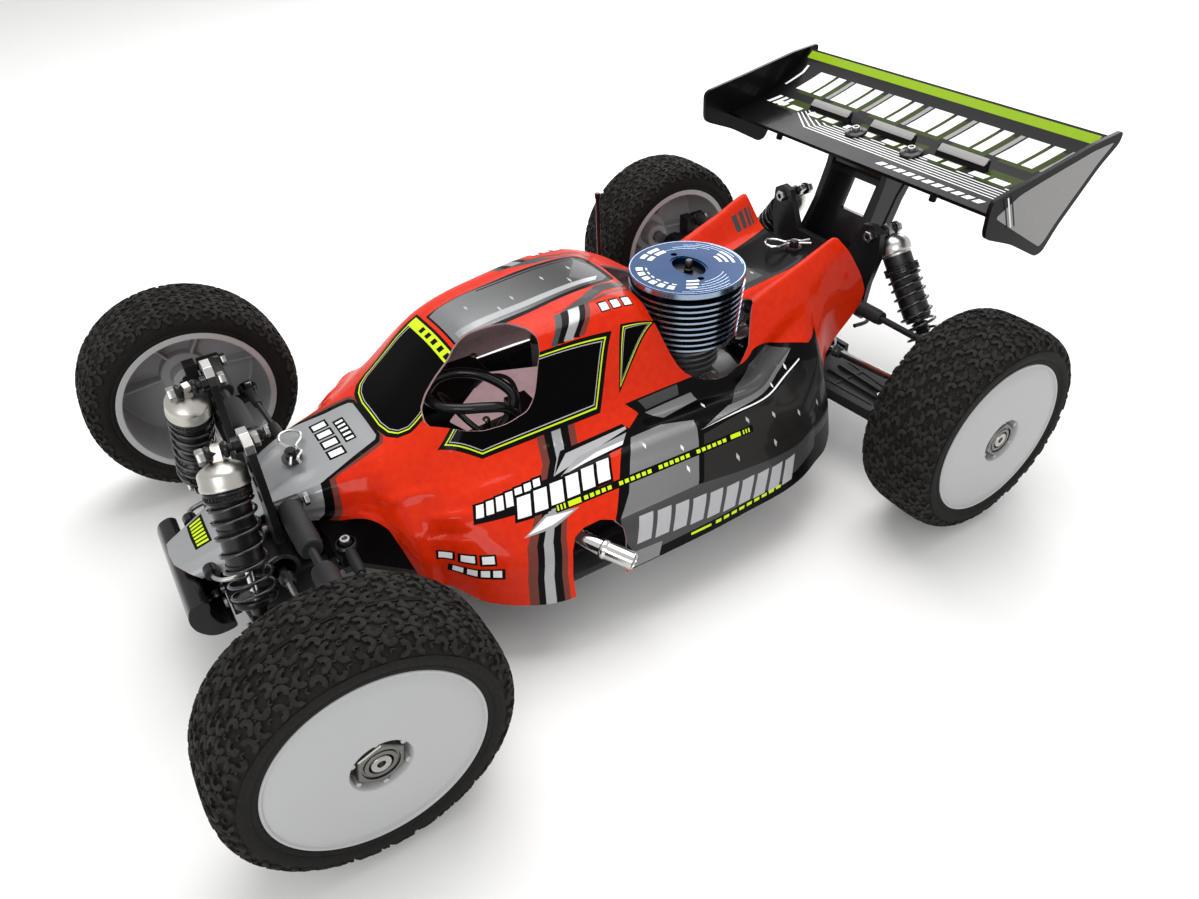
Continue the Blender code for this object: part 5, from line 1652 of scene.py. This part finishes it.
def tuned_pipe():
    pipe = Piece("tuned_exhaust", "chassis", "engine_alloy")
    chamber = [(0, -24.6), (5.0, -24.6), (6.6, -22), (13.4, -3.0), (14.4, 0.2), (14.5, 1.4), (14.5, 18.8),
               (14.3, 20.6), (9.0, 62), (5.2, 79.4), (0, 79.8)]
    pipe.add("chrome", lathe(chamber, (70, 0, 50), Y_AXIS, 64))
    pipe.add("chrome", bead((70, 1.0, 50), Y_AXIS, 14.5, 0.7, 64),
             bead((70, 19.2, 50), Y_AXIS, 14.5, 0.7, 64))
    header = curve([(53, 58.5, 72), (60, 61, 71), (66, 67, 66), (69.5, 74, 58), (70, 77, 49)], 8)
    pipe.add("chrome", tube(header, 4.5, 24))
    pipe.add("hose",
             lathe([(4.6, 0), (5.9, 0.2), (6.0, 9.6), (4.7, 10)], (69.2, 73.4, 59.5), (0.12, 0.36, -0.9), 36))
    pipe.add("steel", lathe([(4.4, 0), (8.6, 0), (8.6, 2.2), (4.4, 2.2)], (50.6, 58.5, 72), (1, 0.1, 0), 32))
    for y in (51.0, 66.0):
        pipe.add("steel", cap_screw((53.0, y, 72), X_AXIS, 2.2, 2.2))
    route = curve([(70, -20, 50), (71, -31, 50), (76, -39.5, 49.6), (84, -43, 49), (92, -41, 48.2),
                   (104, -33.8, 46.3)], 8)
    pipe.add("chrome", tube(route, 4.2, 32))
    start = Vector((99.0, -36.9, 47.1))
    way = (Vector((113, -28.5, 45)) - Vector((92, -41, 48.2))).normalized()
    length = (Vector((113, -28.5, 45)) - start).length
    profile = [(4.2, 0), (4.7, 0.4), (4.9, 1.2), (4.9, 2.2), (4.5, 3.0), (4.35, 3.6), (4.35, length - 0.8),
               (4.2, length), (3.6, length), (3.45, length - 0.8),
               (3.45, length - 13), (3.2, 0)]
    pipe.add("chrome", lathe(profile, start, way, 48))
    pipe.add("hose", rod(start + way * (length - 12.5), start + way * (length - 11.5), 3.44, 32))
    pipe.add("steel", tube(curve([(62, -2, 32), (60, -2, 44), (64, -2, 60), (74, -2, 62)], 5), 1.1, 10))
    pipe.done("tuned_pipe", bevel=0)


def tank():
    piece = kept("fuel_tank", "chassis", "tank", "tank_plastic")
    piece.add("tank",
              lathe([(9.0, 66), (10.4, 70), (10.4, 73), (9.4, 73.6), (9.4, 76)], (-46, 62, 0), Z_AXIS, 40))
    piece.add("gloss",
              lathe([(0, 76), (10.8, 76), (11.2, 76.6), (11.2, 78.6), (10.6, 79.4), (3, 80.2), (0, 80.2)],
                    (-46, 62, 0), Z_AXIS, 40))
    piece.add("gloss",
              tube(curve([(-46, 52, 79), (-46, 46, 80), (-46, 40, 84), (-46, 36, 86)], 4), [1.6] * 12 + [1.2],
                   10))
    piece.add("gloss", bead((-46, 34, 88.5), X_AXIS, 3.0, 0.9, 24, 8))
    for z in (40, 48, 56):
        piece.add("tank", box((-70.5, 21.5, z), (-25.5, 78.5, z + 0.8)))
    piece.add("brass",
              lathe([(0, 0), (1.6, 0), (1.6, 4.5), (2.0, 5), (1.5, 6), (0, 6)], (-30, 26, 66),
                    (0.2, -0.6, 0.75), 16))
    piece.done("fuel_tank", bevel=1.6)
    lines = Piece("fuel_lines", "chassis", "black_plastic")
    lines.add("hose",
              tube(curve([(-29, 23, 70), (-24, 12, 78), (-6, 14, 88), (18, 22, 92), (36, 28, 91),
                          (47, 33, 87.6)], 8), 2.2, 12))
    lines.add("hose",
              tube(curve([(-36, 30, 69.5), (-34, 6, 76), (-20, 2, 84), (16, 4, 76), (44, 0, 70),
                          (62, -2, 63.4)], 8), 2.2, 12))
    lines.done(bevel=0)


def radio():
    deck = kept("radio_tray", "chassis", "plastic", "black_plastic")
    for y in (-74, -46):
        for x in (10, 56):
            deck.add("plastic", box((x - 3.5, y - 9, 44), (x + 3.5, y + 9, 46.6)))
            for off in (-5, 5):
                deck.add("steel", screw((x, y + off, 46.5), Z_AXIS, 1.9, 1.2))
        deck.add("bright", box((12.4, y - 9.6, 52.4), (53.6, y + 9.6, 55.6)))
        deck.add("gloss",
                 lathe([(0, 57.8), (6.2, 57.8), (6.2, 59.4), (3.2, 60), (3.0, 62.6), (0, 62.8)], (22, y, 0),
                       Z_AXIS, 32))
        arm = hull([(22, y - 3, 62.8), (22, y + 3, 62.8), (22, y - 3, 64.6), (22, y + 3, 64.6),
                    (4, y - 1.8, 62.8), (4, y + 1.8, 62.8), (4, y - 1.8, 64.6), (4, y + 1.8, 64.6)])
        deck.add("gloss", arm)
        deck.add("steel", screw((22, y, 64.5), Z_AXIS, 2.4, 1.4), ball((5.4, y, 66.4), 2.3, 16))
    for x, y in ((-66, -80), (-24, -80), (-66, -20), (-24, -20)):
        deck.add("steel", screw((x + (2 if x < -40 else -2), y, 59.9), Z_AXIS, 2.2, 1.3))
    deck.add("plastic", box((-62, -76, 59.8), (-28, -24, 61.6)))
    deck.done("radio_tray", bevel=0.9)
    cab = Piece("cab_wiring", "chassis", "black_plastic")
    loop = [(30, -40, 62), (36, -42, 82), (37, -48, 93), (36, -58, 97), (32, -68, 98), (24, -76, 98),
            (12, -77, 98), (5, -68, 100), (7, -56, 100),
            (16, -46, 98), (28, -40, 92), (34, -48, 84), (34, -60, 76), (28, -70, 70)]
    cab.add("gloss", tube(curve(loop, 8), 2.5, 14))
    cab.add("gloss",
            tube(curve([(-26, -62, 61), (-10, -64, 80), (6, -66, 88), (22, -62, 82), (36, -50, 68),
                        (40, -46, 58)], 8), 1.5, 12))
    cab.add("hose",
            tube(curve([(-30, -40, 61), (-14, -34, 78), (6, -30, 84), (26, -36, 74), (40, -46, 60)], 8), 1.2,
                 12))
    cab.add("chrome", rod((44, -70, 66), (56, -44, 72), 3.0, 32))
    # a flat sheet inside the cab that glows: painted light standing in for the light-filled far wall of the
    # shell seen through the opening
    cab.add("tray",
            hull([(x, y, z) for x, y in ((-22, 2), (-34, -26), (-4, -62), (8, -58),
                                         (4, -12)) for z in (66.0, 67.2)]))
    cab.add("gloss",
            hull([(4, -36, 64), (30, -36, 64), (4, -22, 64), (30, -22, 64), (5, -35, 76), (29, -35, 76),
                  (5, -23, 76), (29, -23, 76)]))
    cab.done(bevel=0.4)
    aerial = Piece("aerial_tube", "chassis", "black_plastic")
    aerial.add("gloss",
               lathe([(0, 54), (3.2, 54), (3.2, 58), (1.6, 59.5), (1.5, 62)], (-52, -60, 0), Z_AXIS, 20))
    aerial.done(bevel=0)
    mast = Piece("aerial_mast", "chassis", "black_plastic")
    mast.add("gloss",
             lathe([(0, 96), (2.6, 96), (2.6, 97.6), (1.25, 98.4), (1.2, 139), (1.6, 139.2), (1.6, 141.6),
                    (1.2, 142), (0, 142)], (-52, 60, 0), Z_AXIS, 16))
    mast.done(bevel=0)


def drive_line():
    gears = kept("centre_diff", "centre_diff", "dark_metal", "dark_alloy")
    gears.add("steel",
              lathe([(3.0, -128), (5.2, -128), (5.2, -120), (4.0, -118), (3.0, -118)], (0, 0, 57), Y_AXIS,
                    24))
    gears.add("steel",
              lathe([(3.0, 118), (4.0, 118), (5.2, 120), (5.2, 128), (3.0, 128)], (0, 0, 57), Y_AXIS, 24))
    for i in range(6):
        turn = 2 * math.pi * i / 6
        gears.add("steel",
                  cap_screw((math.cos(turn) * 9.6, 6.9, 57 + math.sin(turn) * 9.6), (0, -1, 0), 1.8, 1.6))
    gears.done("centre_diff", bevel=0.15)
    bell = kept("clutch_bell", "clutch_bell", "steel", "steel")
    bell.add("steel", cap_screw((31, 4.8, 57), (0, -1, 0), 3.0, 2.4))
    bell.done("clutch_bell", bevel=0.15)


# Wing

CHORD = [(197, 145.6), (206, 146.9), (215, 148.2), (223, 149.6), (233, 153.4), (243, 158.9), (253, 165.8),
         (262.7, 174.2)]
SPAN = 107.0


def blade_route():
    return curve([(0, y, z) for y, z in CHORD], 8)


def chord_point(c):
    """Y and Z on the blade's upper face at the distance c from its leading edge."""
    route = blade_route()
    for a, b in zip(route, route[1:]):
        step = (b - a).length
        if c <= step:
            return a.lerp(b, c / step)
        c -= step
    return route[-1]


def blade_surface(x, c):
    spot = chord_point(c)
    return Vector((x, spot.y, spot.z))


def leaning(x, c, width, height, lean=0.45):
    return [(x, c), (x + width, c), (x + width + lean * height, c + height), (x + lean * height, c + height)]


def wing_regions(total):
    found = []

    def fill(key, *outlines):
        found.extend((key, outline) for outline in outlines)

    fill("wing_lime", [(-104, total - 6.6), (104, total - 6.6), (104, total - 1.3), (-104, total - 1.3)])
    # six thin lines that turn upwards at the far end
    for i in range(6):
        c = 13.4 + i * 2.3
        fill("white", [(-52 + i * 2.2, c), (103, c), (103, c + 0.75), (-52.8 + i * 2.2, c + 0.75)],
             [(-52.6 + i * 2.2, c), (-52 + i * 2.2, c + 0.75), (-70 + i * 1.5, c + 12 - i * 0.6),
              (-71.4 + i * 1.5, c + 12 - i * 0.6)])
    # a row of broad blocks, their shadows, and a fainter row in front
    for i in range(6):
        x = -92 + i * 31.0
        fill("wing_dim", leaning(x + 3.2, 41.0, 22, 17.0), leaning(x + 1, 24.6, 20, 10.5))
        fill("white", leaning(x, 43.5, 13.5, 16.5), leaning(x + 16, 43.5, 6.5, 16.5))
        fill("wing_grey", leaning(x + 26.6, 43.5, 3.0, 16.5))
        fill("white", leaning(x - 3.4, 26.6, 10, 3.6), leaning(x + 9.6, 26.6, 10, 3.6))
    # small equal blocks near the near edge, and three bars at the far one
    for i in range(11):
        fill("white", leaning(14 + i * 6.6, 5.4, 4.4, 3.8, 0.5))
    for i in range(3):
        fill("white", leaning(-101 + i * 5.2, 26, 3.0, 8.5))
    fill("white", [(-103.4, 44), (-101.6, 44), (-97.0, 56), (-97.4, 62), (-99.2, 62), (-99.0, 56.4)])
    return found


def wing():
    route = blade_route()
    total = sum((b - a).length for a, b in zip(route, route[1:]))
    layers = painted(blade_surface, (-SPAN, 0), (SPAN, total), (40, 36), wing_regions(total), "wing")
    sheet_piece("wing_blade", "chassis", layers, 2.0, "wing", ["wing"])

    plates = Piece("wing_endplates", "chassis", "wing_plastic")
    outline = rounded([(176.5, 161.5), (177.0, 143.0), (200, 134), (223.7, 121), (229, 122), (236, 134),
                       (258, 160), (270, 170), (270.2, 175.8), (250, 174),
                       (210, 167)], 4.5)
    panel = rounded([(181.5, 152.5), (204, 138.6), (224.4, 126.2), (227.6, 128.6), (234, 138), (255, 162.4),
                     (265, 171.4), (249, 170.2), (211, 163.2),
                     (197, 160.2)], 2.5)
    for side in (-1, 1):
        x0, x1 = sorted((side * 107.3, side * 109.5))
        plates.add("wing", prism(leftward(outline), x0, x1, "X"))
        film = side * 109.56
        low, high = sorted((film, side * 109.68))
        plates.add("wing_grey", prism(leftward(panel), low, high, "X"))
        low, high = sorted((side * 109.69, side * 109.76))
        for i in range(3):
            plates.add("white" if i == 1 else "wing",
                       prism(leftward([(184.4 + i * 2.6, 161.2), (185.4 + i * 2.6, 161.2),
                                       (193.4 + i * 2.6, 144.4),
                                                                      (192.4 + i * 2.6, 144.4)]), low, high,
                                                                      "X"))
    plates.done(bevel=0.6)

    fins = Piece("wing_fins", "chassis", "wing_plastic")
    for middle_x in (-50, 0, 50):
        for key, grow, low_lift, high_lift in (("wing", 0.0, -0.6, 4.6), ("wing_grey", -1.2, 3.2, 5.0)):
            points = []
            for x in (middle_x - 17 - grow, middle_x + 17 + grow):
                for c, lift in ((30.6, low_lift), (33.4, low_lift), (33.6, high_lift), (34.8, high_lift)):
                    spot = chord_point(c)
                    points.append((x, spot.y, spot.z + lift))
            fins.add(key, hull(points))
    fins.done(bevel=0.3)

    mount = kept("wing_mount", "chassis", "gloss", "wing_plastic")
    for side in (-1, 1):
        x = side * 21.3
        spot = chord_point(26.0)
        mount.add("gloss",
                  lathe([(0, 0), (6.4, 0), (6.6, 0.6), (6.2, 1.4), (3.6, 1.9), (3.4, 2.4), (0, 2.4)],
                        spot + Vector((x, 0, 0)), (0, -0.18, 1), 40))
        mount.add("steel", cap_screw(spot + Vector((x, -0.4, 2.3)), (0, -0.18, 1), 2.3, 1.8))
        mount.add("gloss",
                  hull([(side * 21 + a, y, z) for a in (-3.4, 3.4) for y,
                        z in ((186.2, 78), (189.4, 78), (186.2, 94), (189.4, 94))]))
        for z in (81, 91):
            mount.add("steel", cap_screw((side * 21, 189.2, z), Y_AXIS, 2.2, 1.8))
        rib = [(190.6, 78), (199, 79.4), (211, 104), (219, 124), (229, 141), (226, 143.6), (214.5, 127),
               (206.5, 109), (192.5, 84.5)]
        low, high = sorted((side * 18.2, side * 23.8))
        mount.add("gloss", prism(leftward(rib), low, high, "X"))
    spine = [(194.5, 82), (206.5, 112), (213.5, 129), (222.0, 143.4)]
    for (low, high), spans in (((spine[0], spine[1]), [(-19, 19)]),
                               ((spine[1], spine[2]), [(-19, -9), (9, 19)]),
                               ((spine[2], spine[3]), [(-19, 19)])):
        for x0, x1 in spans:
            mount.add("gloss",
                      hull([(x, y + a, z) for x in (x0, x1) for y, z in (low, high) for a in (-1.3, 1.3)]))
    mount.done("wing_mount", bevel=0.5)
    pegs = Piece("wing_pegs", "chassis", "wing_plastic")
    for x in (-60, 60):
        pegs.add("wing",
                 lathe([(0, 0), (2.0, 0), (2.0, 3.4), (1.6, 4.0), (0, 4.0)], (x, 198.8, 144.2),
                       (0, -0.25, -1), 20))
    pegs.done(bevel=0)


def clips():
    posts = Piece("body_clips", "chassis", "steel")
    clip(posts, (0, -141, body_point(-141, 0).z + 2.0), (-0.96, 0.28, 0))
    clip(posts, (4, 157, 104.5), (-0.55, -0.83, 0))
    posts.add("plastic", rod((0, -141, 58), (0, -141, 83), 2.4, 20))
    posts.add("plastic", rod((4, 157, 56), (4, 157, 104), 2.4, 20))
    posts.done(bevel=0)


def main():
    materials()
    camera()
    studio()
    body_shell()
    for end in ("front", "rear"):
        for side in ("left", "right"):
            tyre(end, side)
            wheel(end, side)
            arms(end, side)
            hubs(end, side)
            shock(end, side)
    for side in ("left", "right"):
        tie_rod(side)
    chassis()
    gearboxes()
    towers()
    bumper()
    steering()
    engine()
    tuned_pipe()
    tank()
    radio()
    drive_line()
    wing()
    clips()


main()
